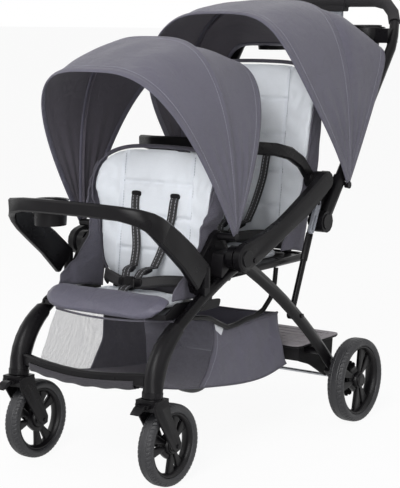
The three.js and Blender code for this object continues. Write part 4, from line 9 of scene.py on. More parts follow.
import bmesh
import bpy
import numpy as np
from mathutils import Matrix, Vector

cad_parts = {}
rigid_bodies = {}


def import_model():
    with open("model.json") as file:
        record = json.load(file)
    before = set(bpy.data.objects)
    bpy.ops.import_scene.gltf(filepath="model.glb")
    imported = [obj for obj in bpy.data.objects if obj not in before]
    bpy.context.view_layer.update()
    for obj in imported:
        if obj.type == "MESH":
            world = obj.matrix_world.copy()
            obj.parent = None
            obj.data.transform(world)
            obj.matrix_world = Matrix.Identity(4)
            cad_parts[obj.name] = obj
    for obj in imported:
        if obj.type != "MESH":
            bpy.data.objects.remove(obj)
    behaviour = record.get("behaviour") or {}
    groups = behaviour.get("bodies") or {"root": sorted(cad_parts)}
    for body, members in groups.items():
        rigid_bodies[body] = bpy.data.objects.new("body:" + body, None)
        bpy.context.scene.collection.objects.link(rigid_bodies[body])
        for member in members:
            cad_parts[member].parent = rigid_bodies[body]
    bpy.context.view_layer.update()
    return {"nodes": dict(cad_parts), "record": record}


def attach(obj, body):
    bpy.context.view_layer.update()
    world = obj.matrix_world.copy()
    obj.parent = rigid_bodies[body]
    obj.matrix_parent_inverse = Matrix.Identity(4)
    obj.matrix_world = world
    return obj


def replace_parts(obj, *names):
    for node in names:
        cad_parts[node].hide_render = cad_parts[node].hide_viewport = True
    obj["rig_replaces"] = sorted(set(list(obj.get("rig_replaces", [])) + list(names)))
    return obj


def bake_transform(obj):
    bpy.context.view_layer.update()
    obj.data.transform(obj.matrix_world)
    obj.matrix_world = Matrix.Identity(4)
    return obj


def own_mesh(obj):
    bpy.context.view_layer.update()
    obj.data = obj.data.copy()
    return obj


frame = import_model()
scene = bpy.context.scene

# The front axle line, as millimetres in front of the row's middle
AXLE_LINE = 439.75
MM = 0.001
FULL_TURN = 2 * math.pi
SIDES = ((1, "left"), (-1, "right"))


def metres(points):
    """Millimetres from the front axle line, as metres in the row frame: (x, y - AXLE_LINE, z) / 1000."""
    return (np.asarray(points, float) - (0, AXLE_LINE, 0)) * MM


def lerp(a, b, share):
    return a + (b - a) * share


def smooth(share):
    """The soft step 3t² - 2t³ of a share held between 0 and 1."""
    t = np.clip(share, 0, 1)
    return t * t * (3 - 2 * t)


def arch(share):
    """4t(1-t): 0 at both ends and 1 half way."""
    return 4 * share * (1 - share)


def bell(distance, width):
    """exp(-(d/w)²): 1 at no distance, falling to nothing on both sides."""
    return np.exp(-((distance / width) ** 2))


def points_at(*ways):
    """Points from arrays of x, y and z that broadcast together."""
    return np.stack(np.broadcast_arrays(*ways), -1)


def round_turn(steps):
    """Even angles round a full turn, the last a step short of it."""
    return np.linspace(0, FULL_TURN, steps, endpoint=False)


# Shader maths


class Value:
    """A number in a node tree. Each operator adds one Math node."""

    def __init__(self, net, socket):
        self.net = net
        self.socket = socket

    def math(self, operation, other=0.0):
        return self.net.add("ShaderNodeMath", {0: self, 1: other}, {"operation": operation})

    def __add__(self, other):
        return self.math("ADD", other)

    def __sub__(self, other):
        return self.math("SUBTRACT", other)

    def __mul__(self, other):
        return self.math("MULTIPLY", other)

    def __abs__(self):
        return self.math("ABSOLUTE")

    def sine(self):
        return self.math("SINE")

    def part(self):
        return self.math("FRACT")


class Net:
    """The node tree of one material or world."""

    def __init__(self, name, group=bpy.data.materials):
        self.name = name
        self.owner = group.new(name)
        self.owner.use_nodes = True
        self.tree = self.owner.node_tree
        self.tree.nodes.clear()

    def add(self, kind, sockets=None, settings=None, out=0):
        """Adds a node: its settings first, then the values or links of its sockets. Gives one output."""
        node = self.tree.nodes.new(kind)
        for key, value in (settings or {}).items():
            setattr(node, key, value)
        for key, value in (sockets or {}).items():
            if isinstance(value, Value):
                self.tree.links.new(value.socket, node.inputs[key])
            else:
                node.inputs[key].default_value = value
        return Value(self, node.outputs[out]) if node.outputs else None

    def point(self, source="Object"):
        """The piece's own coordinates in metres, or its UV map."""
        return self.add("ShaderNodeTexCoord", out=source)

    def parts(self, source="Object"):
        """x, y and z of a point."""
        split = self.add("ShaderNodeSeparateXYZ", {0: self.point(source)})
        return [Value(self, output) for output in split.socket.node.outputs]

    def stretched(self, scales):
        return self.add("ShaderNodeMapping", {"Vector": self.point(), "Scale": scales})

    def noise(self, scale, detail, roughness=0.5, distortion=0.0, point=None):
        sockets = {"Vector": point or self.point(), "Scale": scale, "Detail": detail}
        sockets |= {"Roughness": roughness, "Distortion": distortion}
        return self.add("ShaderNodeTexNoise", sockets)

    def pebbles(self, scale, feature="SMOOTH_F1"):
        sockets = {"Vector": self.point(), "Scale": scale}
        return self.add("ShaderNodeTexVoronoi", sockets, {"feature": feature})

    def ramp(self, value, low, high, first=0.0, last=1.0):
        """A value's run from low to high, mapped to the two levels and held outside them."""
        sockets = {"Value": value, "From Min": low, "From Max": high, "To Min": first, "To Max": last}
        return self.add("ShaderNodeMapRange", sockets, {"clamp": True})

    def mix(self, share, first, second):
        """Two colours mixed by a share."""
        settings = {"data_type": "RGBA", "clamp_factor": True}
        return self.add("ShaderNodeMix", {0: share, 6: first, 7: second}, settings, out=2)

    def tint(self, share, tone, step, base=None):
        """The base, or else the tone itself, mixed by a share with the tone made paler by a step."""
        return self.mix(share, base or colour(tone), colour(np.add(tone, step)))

    def bump(self, height, distance, under=None):
        sockets = {"Height": height, "Distance": distance, "Strength": 1.0}
        if under:
            sockets["Normal"] = under
        return self.add("ShaderNodeBump", sockets)

    def finish(self, **sockets):
        """The surface shader with these sockets, and the output. FINISH keeps the material by its name."""
        named = {key.replace("_", " "): value for key, value in sockets.items()}
        shader = self.add("ShaderNodeBsdfPrincipled", named)
        self.add("ShaderNodeOutputMaterial", {"Surface": shader})
        FINISH[self.name] = self.owner


FINISH = {}


def colour(tone):
    """A colour given as it looks, 0 to 255, as the linear light that the shader wants."""
    parts = np.asarray(tone) / 255
    linear = np.where(parts <= 0.04045, parts / 12.92, ((parts + 0.055) / 1.055) ** 2.4)
    return (*linear.tolist(), 1.0)


def coated_metal(name, tone, roughness):
    """Satin powder coat: fine orange peel, small scuffs duller and paler, and dust in clouds."""
    net = Net(name)
    cloud = net.noise(14, 3)
    scuff = net.ramp(net.noise(160, 4, 0.7, 1.2), 0.66, 0.72)
    net.finish(
        Base_Color=net.tint(scuff * 0.4, tone, 34, net.tint(net.ramp(cloud, 0.35, 0.7), tone, 6)),
        Roughness=net.ramp(cloud, 0.3, 0.7, roughness - 0.05, roughness + 0.07) + scuff * 0.15,
        Specular_IOR_Level=0.12,
        Coat_Weight=0.04,
        Coat_Roughness=0.12,
        Normal=net.bump(net.noise(900, 2), 0.00006),
    )


def moulded(name, tone, roughness, grain=0.00012, shine=0.13):
    """Moulded plastic: a leathery grain, flow clouds and rubbed spots with a little more shine."""
    net = Net(name)
    cloud = net.noise(11, 3)
    rubbed = net.ramp(net.noise(55, 3, 0.6), 0.58, 0.75)
    net.finish(
        Base_Color=net.tint(rubbed * 0.35, tone, 14, net.tint(net.ramp(cloud, 0.3, 0.7), tone, 6)),
        Roughness=net.ramp(cloud, 0.3, 0.7, roughness - 0.05, roughness + 0.06) - rubbed * 0.1,
        Specular_IOR_Level=shine,
        Normal=net.bump(net.pebbles(900), grain),
    )


def deck_plastic(name, top, side, split):
    """The standing platform: its treads are grey down to the height split, its skirt below is black."""
    net = Net(name)
    cloud = net.noise(14, 3)
    upper = net.tint(net.ramp(cloud, 0.3, 0.7), top, 8)
    net.finish(
        Base_Color=net.mix(net.ramp(net.parts()[2], split - 0.0004, split + 0.0004), colour(side), upper),
        Roughness=net.ramp(cloud, 0.3, 0.7, 0.6, 0.78),
        Specular_IOR_Level=0.2,
        Normal=net.bump(net.pebbles(900), 0.0003),
    )


def foam_grip(name, tone):
    """Closed-cell foam: coarse open pores, darkened in their hollows as painted shade, over soft clouds."""
    net = Net(name)
    cloud = net.noise(40, 3)
    pores = net.ramp(net.pebbles(620, "F1"), 0.1, 0.55)
    # Darker by 12 in the pore hollows that the bump dents: painted shade.
    base = net.mix(pores, colour(np.subtract(tone, 12)), colour(tone))
    net.finish(
        Base_Color=net.tint(net.ramp(cloud, 0.4, 0.7, 0, 0.5), tone, 14, base),
        Roughness=net.ramp(cloud, 0.3, 0.7, 0.82, 0.96),
        Normal=net.bump(pores, 0.0005),
    )


def tyre_rubber(name, tone):
    """Foamed tyre rubber: dusty towards grey in patches, with a fine skin."""
    net = Net(name)
    dust = net.ramp(net.noise(38, 4, 0.65), 0.4, 0.72)
    net.finish(
        Base_Color=net.tint(dust, tone, 12),
        Roughness=net.ramp(dust, 0, 1, 0.48, 0.68),
        Normal=net.bump(net.noise(1400, 2), 0.00012),
    )


def bare_steel(name, tone):
    """Drawn steel: lines along x with a few dull stains."""
    net = Net(name)
    lines = net.noise(1, 3, point=net.stretched((20, 900, 900)))
    net.finish(
        Base_Color=net.tint(net.ramp(net.noise(60, 3), 0.5, 0.75), tone, -40),
        Metallic=1.0,
        Roughness=net.ramp(lines, 0.3, 0.7, 0.24, 0.42),
        Normal=net.bump(lines, 0.00003),
    )


def cloth(name, tone, speck, thread=0.0011, wrinkle=0.0, source="UV", rough=0.86, sheen=0.1):
    """Woven cloth: crossing threads as a product of sines, a melange of threads that take the dye unevenly,
    broad wear, and where asked shallow creases."""
    net = Net(name)
    u, v, w = net.parts(source)
    turn = FULL_TURN / thread
    weave = (u * turn).sine() * ((v if source == "UV" else w) * turn).sine()
    melange = net.noise(1300, 1)
    streak = net.noise(1, 2, point=net.stretched((60, 60, 900)))
    base = net.tint(net.ramp(melange, 0.35, 0.65), tone, speck, colour(np.subtract(tone, speck)))
    base = net.tint(net.ramp(streak, 0.45, 0.8, 0, 0.3), tone, speck * 2, base)
    wear = net.ramp(net.noise(9, 3), 0.45, 0.75, 0, 0.35)
    normal = net.bump(weave * 0.5 + melange * 0.5, 0.00022)
    if wrinkle:
        normal = net.bump(net.noise(26, 3, 0.55, 0.8), wrinkle, normal)
    net.finish(
        Base_Color=net.mix(wear, base, colour(np.multiply(tone, 0.86))),
        Roughness=net.ramp(melange, 0.3, 0.7, rough - 0.06, rough + 0.06),
        Sheen_Weight=sheen,
        Sheen_Roughness=0.5,
        Normal=normal,
    )


# Lengths of one repeat, in metres
WEBBING_RIB, WEBBING_STITCH, SEAM_STITCH, NET_CELL = 0.0024, 0.0075, 0.0062, 0.0046


def webbing(name, tone, pale):
    """Strap webbing: ribs across the strap, and a pale stitch line inside each edge, dashed along it.
    The strap's UV map runs along its length in u and from -1 to 1 across it in v."""
    net = Net(name)
    along, across, _ = net.parts("UV")
    line = net.ramp(abs(abs(across) - 0.52), 0.05, 0.11, 1, 0)
    thread = line * net.ramp((along * (1 / WEBBING_STITCH)).part(), 0.68, 0.76, 1, 0)
    cloud = net.noise(300, 2)
    net.finish(
        Base_Color=net.mix(thread, net.tint(net.ramp(cloud, 0.3, 0.7), tone, 14), colour(pale)),
        Roughness=net.ramp(cloud, 0.3, 0.7, 0.55, 0.75),
        Normal=net.bump((along * (FULL_TURN / WEBBING_RIB)).sine() + thread * 2, 0.0002),
    )


def mesh_cloth(name, tone, share):
    """Open netting: holes in a staggered pattern of round cells, cut through by Alpha."""
    net = Net(name)
    u, v, _ = net.parts("UV")
    turn = FULL_TURN / NET_CELL
    thread = net.ramp(abs((u * turn).sine() * (v * turn).sine()), share, share + 0.08, 1, 0)
    net.finish(
        Base_Color=net.tint(net.ramp(net.noise(200, 2), 0.3, 0.7), tone, 20),
        Roughness=0.8,
        Alpha=thread,
        Normal=net.bump(thread, 0.0003),
    )


def sewing(name, tone):
    """A seam's thread: the strand is cut into stitches by Alpha along u of its UV map."""
    net = Net(name)
    net.finish(
        Base_Color=net.tint(net.noise(500, 1), tone, -16),
        Roughness=0.7,
        Alpha=net.ramp((net.parts("UV")[0] * (1 / SEAM_STITCH)).part(), 0.66, 0.72, 1, 0),
    )


coated_metal("frame", (10, 9, 11), 0.3)
moulded("moulding", (14, 13, 15), 0.31)
foam_grip("foam", (27, 25, 28))
tyre_rubber("rubber", (27, 27, 30))
moulded("rim", (12, 11, 13), 0.34, 0.00006, 0.2)
bare_steel("steel", (168, 170, 174))
moulded("latch", (138, 141, 149), 0.42)
deck_plastic("platform", (156, 151, 155), (16, 15, 17), 0.2035)
cloth("cloth", (79, 77, 91), 8, wrinkle=0.0034, rough=0.56, sheen=0.12)
cloth("lining", (72, 68, 77), 6, wrinkle=0.0024)
# Dark cloth; on the inner face of the basket's cloth walls it is painted shade.
cloth("dark_cloth", (44, 42, 48), 8, source="Object")
cloth("melange", (84, 82, 94), 22, wrinkle=0.0022)
cloth("quilt", (216, 220, 226), 4, wrinkle=0.0016, source="Object", sheen=0.15)
cloth("piping", (76, 74, 84), 8, thread=0.0008)
cloth("binding", (62, 60, 70), 8, thread=0.0009)
webbing("webbing", (14, 13, 15), (150, 150, 156))
webbing("plain_webbing", (16, 15, 17), (34, 33, 36))
mesh_cloth("netting", (62, 60, 69), 0.085)
mesh_cloth("side_netting", (150, 148, 162), 0.13)
sewing("pale_thread", (150, 149, 160))
sewing("quilt_thread", (150, 154, 162))
moulded("rim_gloss", (44, 43, 46), 0.22, 0.00004, 0.7)
moulded("reflector", (205, 207, 212), 0.3, 0.0002, 0.6)

# Meshes from whole arrays


def linked(name, data):
    """A new object of this data, in the scene."""
    item = bpy.data.objects.new(name, data)
    scene.collection.objects.link(item)
    return item


def one_face(name, corners):
    """An object with one flat face through its corners in metres."""
    mesh = bpy.data.meshes.new(name)
    mesh.from_pydata(corners, [], [list(range(len(corners)))])
    return linked(name, mesh)


def grid_faces(rows, columns, wrap_rows, wrap_columns):
    """Quads of a grid of points, each with its unwrapped row and column at the corners, for the UV map."""
    down, over = np.indices((rows - (not wrap_rows), columns - (not wrap_columns))).reshape(2, -1)
    steps = ((0, 0), (0, 1), (1, 1), (1, 0))
    quads = [((down + r) % rows) * columns + (over + c) % columns for r, c in steps]
    places = [np.stack([down + r, over + c], 1) for r, c in steps]
    return np.stack(quads, 1), np.stack(places, 1)


def run_lengths(points, axis=0, wrap=False):
    """How far each line of a grid lies from its first along that axis, by the mean of the steps."""
    closed = np.concatenate([points, points.take([0], axis)], axis) if wrap else points
    steps = np.linalg.norm(np.diff(closed, axis=axis), axis=2).mean(1 - axis)
    return np.concatenate([[0], np.cumsum(steps)])


def surface(name, points, kind="sheet", across=None):
    """An object through a grid of points in millimetres, with a UV map in metres along both ways of the grid.
    A tube's rows are closed rings, the first and last filled by a face, and a hoop's columns are closed too.
    across gives other v values, one for each column."""
    rows, columns, _ = points.shape
    wrap_rows, wrap_columns = kind == "hoop", kind != "sheet"
    places = metres(points)
    quads, corners = grid_faces(rows, columns, wrap_rows, wrap_columns)
    faces = quads.tolist()
    along = run_lengths(places, 0, wrap_rows)
    over = run_lengths(places, 1, wrap_columns) if across is None else np.asarray(across, float)
    uv = np.stack([along[corners[..., 0]], over[corners[..., 1]]], -1).reshape(-1, 2)
    if kind == "tube":
        faces += [list(range(columns)), list(range((rows - 1) * columns, rows * columns))[::-1]]
        uv = np.concatenate([uv, np.zeros((2 * columns, 2))])
    mesh = bpy.data.meshes.new(name)
    mesh.from_pydata(places.reshape(-1, 3).tolist(), [], faces)
    mesh.uv_layers.new(name="UVMap").data.foreach_set("uv", uv.ravel().astype(np.float32))
    mesh.shade_smooth()
    mesh.validate()
    if wrap_columns:
        outward(mesh)
    return linked(name, mesh)


def outward(mesh):
    """Merged doubles and faces turned outwards, for a closed mesh."""
    work = bmesh.new()
    work.from_mesh(mesh)
    bmesh.ops.remove_doubles(work, verts=work.verts, dist=1e-6)
    bmesh.ops.recalc_face_normals(work, faces=work.faces)
    work.to_mesh(mesh)
    work.free()


def dress(item, body, slot, *finishes, stands_for=()):
    """Gives a piece its finishes, or else the finish named by its slot, its body and the nodes it stands for.
    A piece that bends between two bodies has no body of its own."""
    item.data.materials.clear()
    for finish in finishes or (slot,):
        item.data.materials.append(FINISH[finish])
    if body:
        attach(item, body)
    if stands_for:
        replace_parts(item, *stands_for)
    return item


def thicken(item, thickness, inner=0, offset=-1.0):
    """Gives a sheet its wall, in millimetres. inner is the step to the material of the wall's far side."""
    wall = item.modifiers.new("wall", "SOLIDIFY")
    wall.thickness = thickness * MM
    wall.offset = offset
    wall.material_offset = inner
    wall.use_even_offset = True
    return item


def through(points, count):
    """A smooth line through the points: between neighbours p1 and p2 it is the cubic
    (2p1 + (p2-p0)t + (2p0-5p1+4p2-p3)t² + (3p1-p0-3p2+p3)t³) / 2, read at even steps of its length."""
    p = np.asarray(points, float)
    p = np.concatenate([[2 * p[0] - p[1]], p, [2 * p[-1] - p[-2]]])
    t = np.linspace(0, 1, 24, endpoint=False)[None, :, None]
    p0, p1, p2, p3 = (p[i : len(p) - 3 + i, None, :] for i in range(4))
    line = 2 * p1 + (p2 - p0) * t + (2 * p0 - 5 * p1 + 4 * p2 - p3) * t**2
    line = line + (3 * p1 - p0 - 3 * p2 + p3) * t**3
    line = np.concatenate([line.reshape(-1, 3) / 2, p[-2:-1]])
    run = run_lengths(line[:, None])
    even = np.linspace(0, run[-1], count)
    return np.stack([np.interp(even, run, line[:, i]) for i in range(3)], 1)


def swept(name, path, ring, side, across=None):
    """A closed piece: a ring of (a, b) carried along a path as path + a·wide + b·high, where wide is the side
    direction made square to the path and high is the path's direction crossed with wide."""
    path, ring = np.asarray(path, float), np.asarray(ring, float)
    along = np.gradient(path, axis=0)
    along /= np.linalg.norm(along, axis=1, keepdims=True)
    wide = side - along * (side * along).sum(1, keepdims=True)
    wide /= np.linalg.norm(wide, axis=1, keepdims=True)
    high = np.cross(along, wide)
    points = path[:, None] + wide[:, None] * ring[..., :1] + high[:, None] * ring[..., 1:]
    return surface(name, points, "tube", across)


def oval(half_width, half_height, sides=24, power=2.0):
    """A ring of points on the curve |a/w|^n + |b/h|^n = 1."""
    turn = round_turn(sides)
    way = np.stack([np.cos(turn), np.sin(turn)], 1)
    return (half_width, half_height) * np.sign(way) * np.abs(way) ** (2 / power)


def cord_line(name, points, radius, body, slot, finish, count=90, side=(1, 0, 0)):
    """A round piping or rod along a smooth line."""
    return dress(swept(name, through(points, count), oval(radius, radius, 12), side), body, slot, finish)


# Edge rounding of the rigid pieces, in millimetres, and the least angle that counts as an edge
EDGE, CREASE = 0.8, math.radians(42)


def finer(node, body, slot, finish):
    """A merged copy of a rigid node, shaded smooth up to the crease angle, with its sharper edges rounded."""
    mesh = frame["nodes"][node].data.copy()
    mesh.name = node + "_dressed"
    work = bmesh.new()
    work.from_mesh(mesh)
    bmesh.ops.remove_doubles(work, verts=work.verts, dist=1e-5)
    bmesh.ops.dissolve_limit(work, angle_limit=math.radians(1), verts=work.verts, edges=work.edges)
    work.to_mesh(mesh)
    work.free()
    mesh.shade_smooth()
    mesh.set_sharp_from_angle(angle=CREASE)
    item = linked(node + "_dressed", mesh)
    bevel = item.modifiers.new("edge", "BEVEL")
    bevel.width = EDGE * MM
    bevel.segments = 2
    bevel.limit_method = "ANGLE"
    bevel.angle_limit = CREASE
    bevel.use_clamp_overlap = True
    bevel.harden_normals = True
    dress(item, body, slot, finish, stands_for=[node])


def flat_size(item, points):
    """A sheet's area, and its length down the rows and over the columns of its grid."""
    area = float(sum(face.area for face in item.data.polygons))
    return area, *(run_lengths(metres(points), axis)[-1] for axis in (0, 1))


def panel(name, points, body, held, wall, *finishes, stands_for=()):
    """A sheet through a grid of points. Only netting has no wall, and a second finish is that of the far
    side."""
    item = surface(name, points)
    area, run, over = flat_size(item, points)
    if wall:
        thicken(item, wall, inner=len(finishes) - 1, offset=0)
    dress(item, body, "cloth", *finishes, stands_for=stands_for)


# Canopies

INNER_REACH = 9
# Each bow is its angle from straight back, its reach from the tips' line, the power of its squarish arch, and
# the degrees that it bellies forwards half way up
CANOPIES = {
    "front": {
        "tips": (0, 209, 516), "half": 222, "taper": 0.085, "back_body": "frame", "axis": (0, 0, 1),
        "keep": 0.48, "front": (122, 437, 3.4, 0), "seam": (92, 437, 3.4, 0), "rear": (62, 437, 3.4, 0),
    },
    "rear": {
        "tips": (0, 646, 594), "half": 252, "taper": 0.05, "back_body": "handle", "axis": (0, -0.779, 0.627),
        "keep": 0.06, "front": (115, 455, 3.4, 9), "seam": (84, 444, 3.4, 3), "rear": (56.5, 399, 15.0, 0),
    },
}


def bow_surface(canopy, turn, first, second, sink, sag, shares=np.linspace(0, 1, 44)):
    """The cloth between two bows. turn runs from tip to tip and the share t from the first bow to the second.
    A bow is |x/w|^n + |reach|^n = 1, its reach laid out from the tips' line at the bows' angle. The cloth
    hangs in by sag·4t(1-t) of its reach, and puckers where it is gathered towards the tips."""
    t = np.asarray(shares, float)[:, None]
    degrees_at, radius, power, belly = (lerp(a, b, t) for a, b in zip(canopy[first], canopy[second]))
    start = INNER_REACH / canopy["seam"][1]
    bend = lerp(start, math.pi - start, np.asarray(turn)[None, :])
    c, s = np.cos(bend), np.sin(bend)
    square = 1 / (np.abs(c) ** power + np.abs(s) ** power) ** (1 / power)
    reach = s * square
    hang = sag * arch(t) * np.clip(reach, 0, 1) ** 2
    if sag:
        hang = hang + bell(reach - 0.34, 0.2) * arch(t) * 4.2 * np.sin(t * 19 + 9 * reach)
        hang = hang + 2.6 * arch(t) * np.sin(c * 13 + t * 7 + 2 * np.sin(t * 5)) * reach
    out = np.maximum(reach * (radius - sink) - hang, 1)
    x = c * square * (canopy["half"] - sink - hang * 0.4) * (1 - canopy["taper"] * reach**2)
    angle = np.radians(degrees_at + belly * arch(np.clip(reach, 0, 1)))
    _, y, z = canopy["tips"]
    return points_at(x, y + out * np.cos(angle), z + out * np.sin(angle))


def bow_line(canopy, bow, lift, turn):
    """The line of one bow, raised outwards by a lift."""
    return bow_surface(canopy, turn, bow, bow, -lift, 0, [0])[0]


def even_turn(canopy, bow, count):
    """Shares along a bow at even steps of its length."""
    fine = np.linspace(0, 1, 400)
    run = run_lengths(bow_line(canopy, bow, 0, fine)[:, None])
    return np.interp(np.linspace(0, run[-1], count), run, fine)


def canopy_panel(title, part, first, second, body, sink, sag):
    """The cloth between two bows, with its lining inside."""
    canopy = CANOPIES[title]
    points = bow_surface(canopy, even_turn(canopy, "seam", 130), first, second, sink, sag)
    item = thicken(surface(f"{title}_{part}_cloth", points[:, ::-1]), 1.6, inner=1)
    dress(item, body, "cloth", "cloth", "lining", stands_for=[f"{title}_canopy_{part}"])
    area, run, wide = flat_size(item, points)
    return item


def bow_trim(title, part, bow, lift, radius, body, finish, stretch=1.0):
    """A hem or a rod along a bow, its section stretched along the cloth."""
    canopy = CANOPIES[title]
    path = bow_line(canopy, bow, lift, even_turn(canopy, bow, 120))
    angle = math.radians(canopy[bow][0])
    side = (0, -math.sin(angle), math.cos(angle))
    item = swept(f"{title}_{part}", path, oval(radius * stretch, radius, 12), side)
    return dress(item, body, "cloth", finish)


def stitch_line(title, part, first, second, share, lift, body, sag):
    """A row of stitches on the cloth between two bows, at a share of the way."""
    canopy = CANOPIES[title]
    path = bow_surface(canopy, even_turn(canopy, first, 150)[2:-2], first, second, -lift, sag, [share])[0]
    item = swept(f"{title}_{part}_stitches", path, oval(0.55, 0.55, 6), (1, 0, 0))
    return dress(item, body, "cloth", "pale_thread")


HOOD_SAG, BACK_SAG = 9, 12
for title, canopy in CANOPIES.items():
    hood, back = title + "_hood", canopy["back_body"]
    soft = [
        canopy_panel(title, "hood", "front", "seam", hood, 0.4, HOOD_SAG),
        canopy_panel(title, "back", "seam", "rear", back, 4.4, BACK_SAG),
        bow_trim(title, "rim_hem", "front", -1.5, 2.6, hood, "cloth", 3.0),
        bow_trim(title, "seam_cover", "seam", -2.5, 3.0, hood, "cloth", 2.4),
        bow_trim(title, "back_hem", "rear", -6.0, 2.6, back, "cloth", 3.0),
        bow_trim(title, "inner_bow", "seam", -9.5, 3.6, back, "lining"),
        stitch_line(title, "rim", "front", "seam", 0.075, -0.1, hood, HOOD_SAG),
        stitch_line(title, "seam", "front", "seam", 0.925, -0.1, hood, HOOD_SAG),
        stitch_line(title, "back", "seam", "rear", 0.9, -4.1, back, BACK_SAG),
    ]
    for item in soft:
        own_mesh(item)

# Pads

# Remeshing step in millimetres, air pressure and frames of the cushions' cloth simulation
VOXEL, PRESSURE, FRAMES = 5.5, 4.0, 20


def on_back(back, across, up, forward):
    """Lays places on a leaning back, in millimetres: up runs along the back and forward is square to it."""
    lean = math.radians(back["lean"])
    y = back["y"] + up * math.sin(lean) - forward * math.cos(lean)
    return points_at(across, y, back["z"] + up * math.cos(lean) + forward * math.sin(lean))


def pillow(name, outline, low, high, edge, rings=14):
    """A closed cushion over a unit square bent to an outline, in its own millimetres until it is laid in
    place. Rings of |a|^5 + |b|^5 = r^5 run from the top's middle over the side to the foot's middle; the top
    is low + edge + (high - edge)·sqrt(1 - r^4)."""
    ring = oval(1, 1, 56, 5.0)
    r_top = np.sin(np.linspace(0.02, math.pi / 2, rings))
    r = np.concatenate([r_top, r_top[::-1] * 0.985])[:, None]
    top = low + edge + (high - edge) * np.sqrt(1 - np.clip(r_top, 0, 1) ** 4)
    height = np.concatenate([top, np.full(rings, low)])[:, None]
    x, y = outline(r * ring[:, 0], r * ring[:, 1])
    item = surface(name, points_at(x, y, height), "tube")
    place_vertices(item, vertices(item) + (0, AXLE_LINE * MM, 0))
    return item


def blown(item, cap):
    """Blows a closed shape up as cloth, held within a cap of its start. Gives its places in millimetres."""
    remesh = item.modifiers.new("remesh", "REMESH")
    remesh.mode = "VOXEL"
    remesh.voxel_size = VOXEL * MM
    bake(item)
    start = vertices(item)
    press = item.modifiers.new("press", "CLOTH")
    press.settings.use_pressure = True
    press.settings.uniform_pressure_force = PRESSURE
    press.settings.effector_weights.gravity = 0
    press.settings.quality = 4
    press.point_cache.frame_start = 1
    press.point_cache.frame_end = FRAMES
    for step in range(1, FRAMES + 1):
        scene.frame_set(step)
    bake(item)
    scene.frame_set(1)
    moved = vertices(item) - start
    length = np.linalg.norm(moved, axis=1, keepdims=True)
    place_vertices(item, start + moved * np.minimum(1, cap * MM / np.maximum(length, 1e-9)))
    rounder = item.modifiers.new("rounder", "SUBSURF")
    rounder.levels = rounder.render_levels = 1
    bake(item)
    item.data.shade_smooth()
    return (vertices(item) / MM).T


def bake(item):
    """Applies the piece's modifiers to its mesh."""
    graph = bpy.context.evaluated_depsgraph_get()
    mesh = bpy.data.meshes.new_from_object(item.evaluated_get(graph))
    item.modifiers.clear()
    item.data = mesh


def vertices(item):
    spots = np.empty(len(item.data.vertices) * 3)
    item.data.vertices.foreach_get("co", spots)
    return spots.reshape(-1, 3)


def place_vertices(item, spots):
    item.data.vertices.foreach_set("co", np.asarray(spots, float).ravel())
    item.data.update()


def groove(value, lines, half_width):
    """How deep a sewn line pulls at a place: the sum of exp(-(d/w)²) over the lines."""
    return sum(bell(value - line, half_width) for line in lines)


# A cushion is flat up to BEND_FROM at each side. Past it there is this much more cloth (reach) and it curls
# forwards by this angle (curl), at even shares of its height. Its wings reach ahead and bulge out at shares
# of their own.
BEND_FROM, SEAM_AT = 102, 98
BACKS = {
    "front": {
        "y": 214, "z": 375, "height": 322, "lean": 7, "channels": 4,
        "reach": (54, 56, 57, 60, 62, 66, 84, 88, 86, 82, 70),
        "curl": (6, 10, 16, 34, 52, 60, 66, 66, 58, 48, 34),
        "share": (0.0, 0.08, 0.2, 0.37, 0.55, 0.75, 0.9), "ahead": (152, 147, 102, 60, 62, 46, 22),
        "out": (2, 3, 4, 4, 7, 5, 2), "wing_low": 535,
    },
    "rear": {
        "y": 590, "z": 436, "height": 446, "lean": 7.5, "channels": 5,
        "reach": (54, 64, 84, 96, 96, 88), "curl": (8, 22, 44, 50, 44, 26),
        "share": (0.0, 0.12, 0.3, 0.5, 0.72, 0.9, 1.0), "ahead": (96, 74, 50, 46, 38, 20, 10),
        "out": (2, 4, 6, 6, 5, 2, 2), "wing_low": 0,
    },
}
PAD_LOW, PAD_THICK, PAD_FOOT, PAD_CAP = 10.0, 22.0, 14.0, 3.5
# Half the room between which the wings stand: it widens from one y to the other, and is ROOM above wing_low
INSIDE, PAST, ROOM = (158, 171), (108, 84), 186


def along_height(back, key, share):
    return np.interp(share, np.linspace(0, 1, len(back[key])), back[key])


def cushion_edge(back, a, b, inset, short):
    """A back cushion's flat outline: its half width follows the reach, and its top rises by 8(1 - a²)."""
    share = (b + 1) / 2
    half = BEND_FROM + along_height(back, "reach", share) - inset
    return a * half, PAD_FOOT + share * (back["height"] - PAD_FOOT - short) + 8 * share * (1 - a**2)


def bent(back, across, share, lift):
    """Bends a flat cushion's sides forwards. Past BEND_FROM the surface runs on an arc of radius reach/curl:
    across = BEND_FROM + (r - lift)·sin(a), forward = low + r - (r - lift)·cos(a), with a = extra/r."""
    curl = np.radians(along_height(back, "curl", share))
    radius = along_height(back, "reach", share) / curl
    turn = np.maximum(0, np.abs(across) - BEND_FROM) / radius
    high = lift - PAD_LOW
    wide = np.minimum(np.abs(across), BEND_FROM) + (radius - high) * np.sin(turn)
    return np.sign(across) * wide, PAD_LOW + radius - (radius - high) * np.cos(turn)


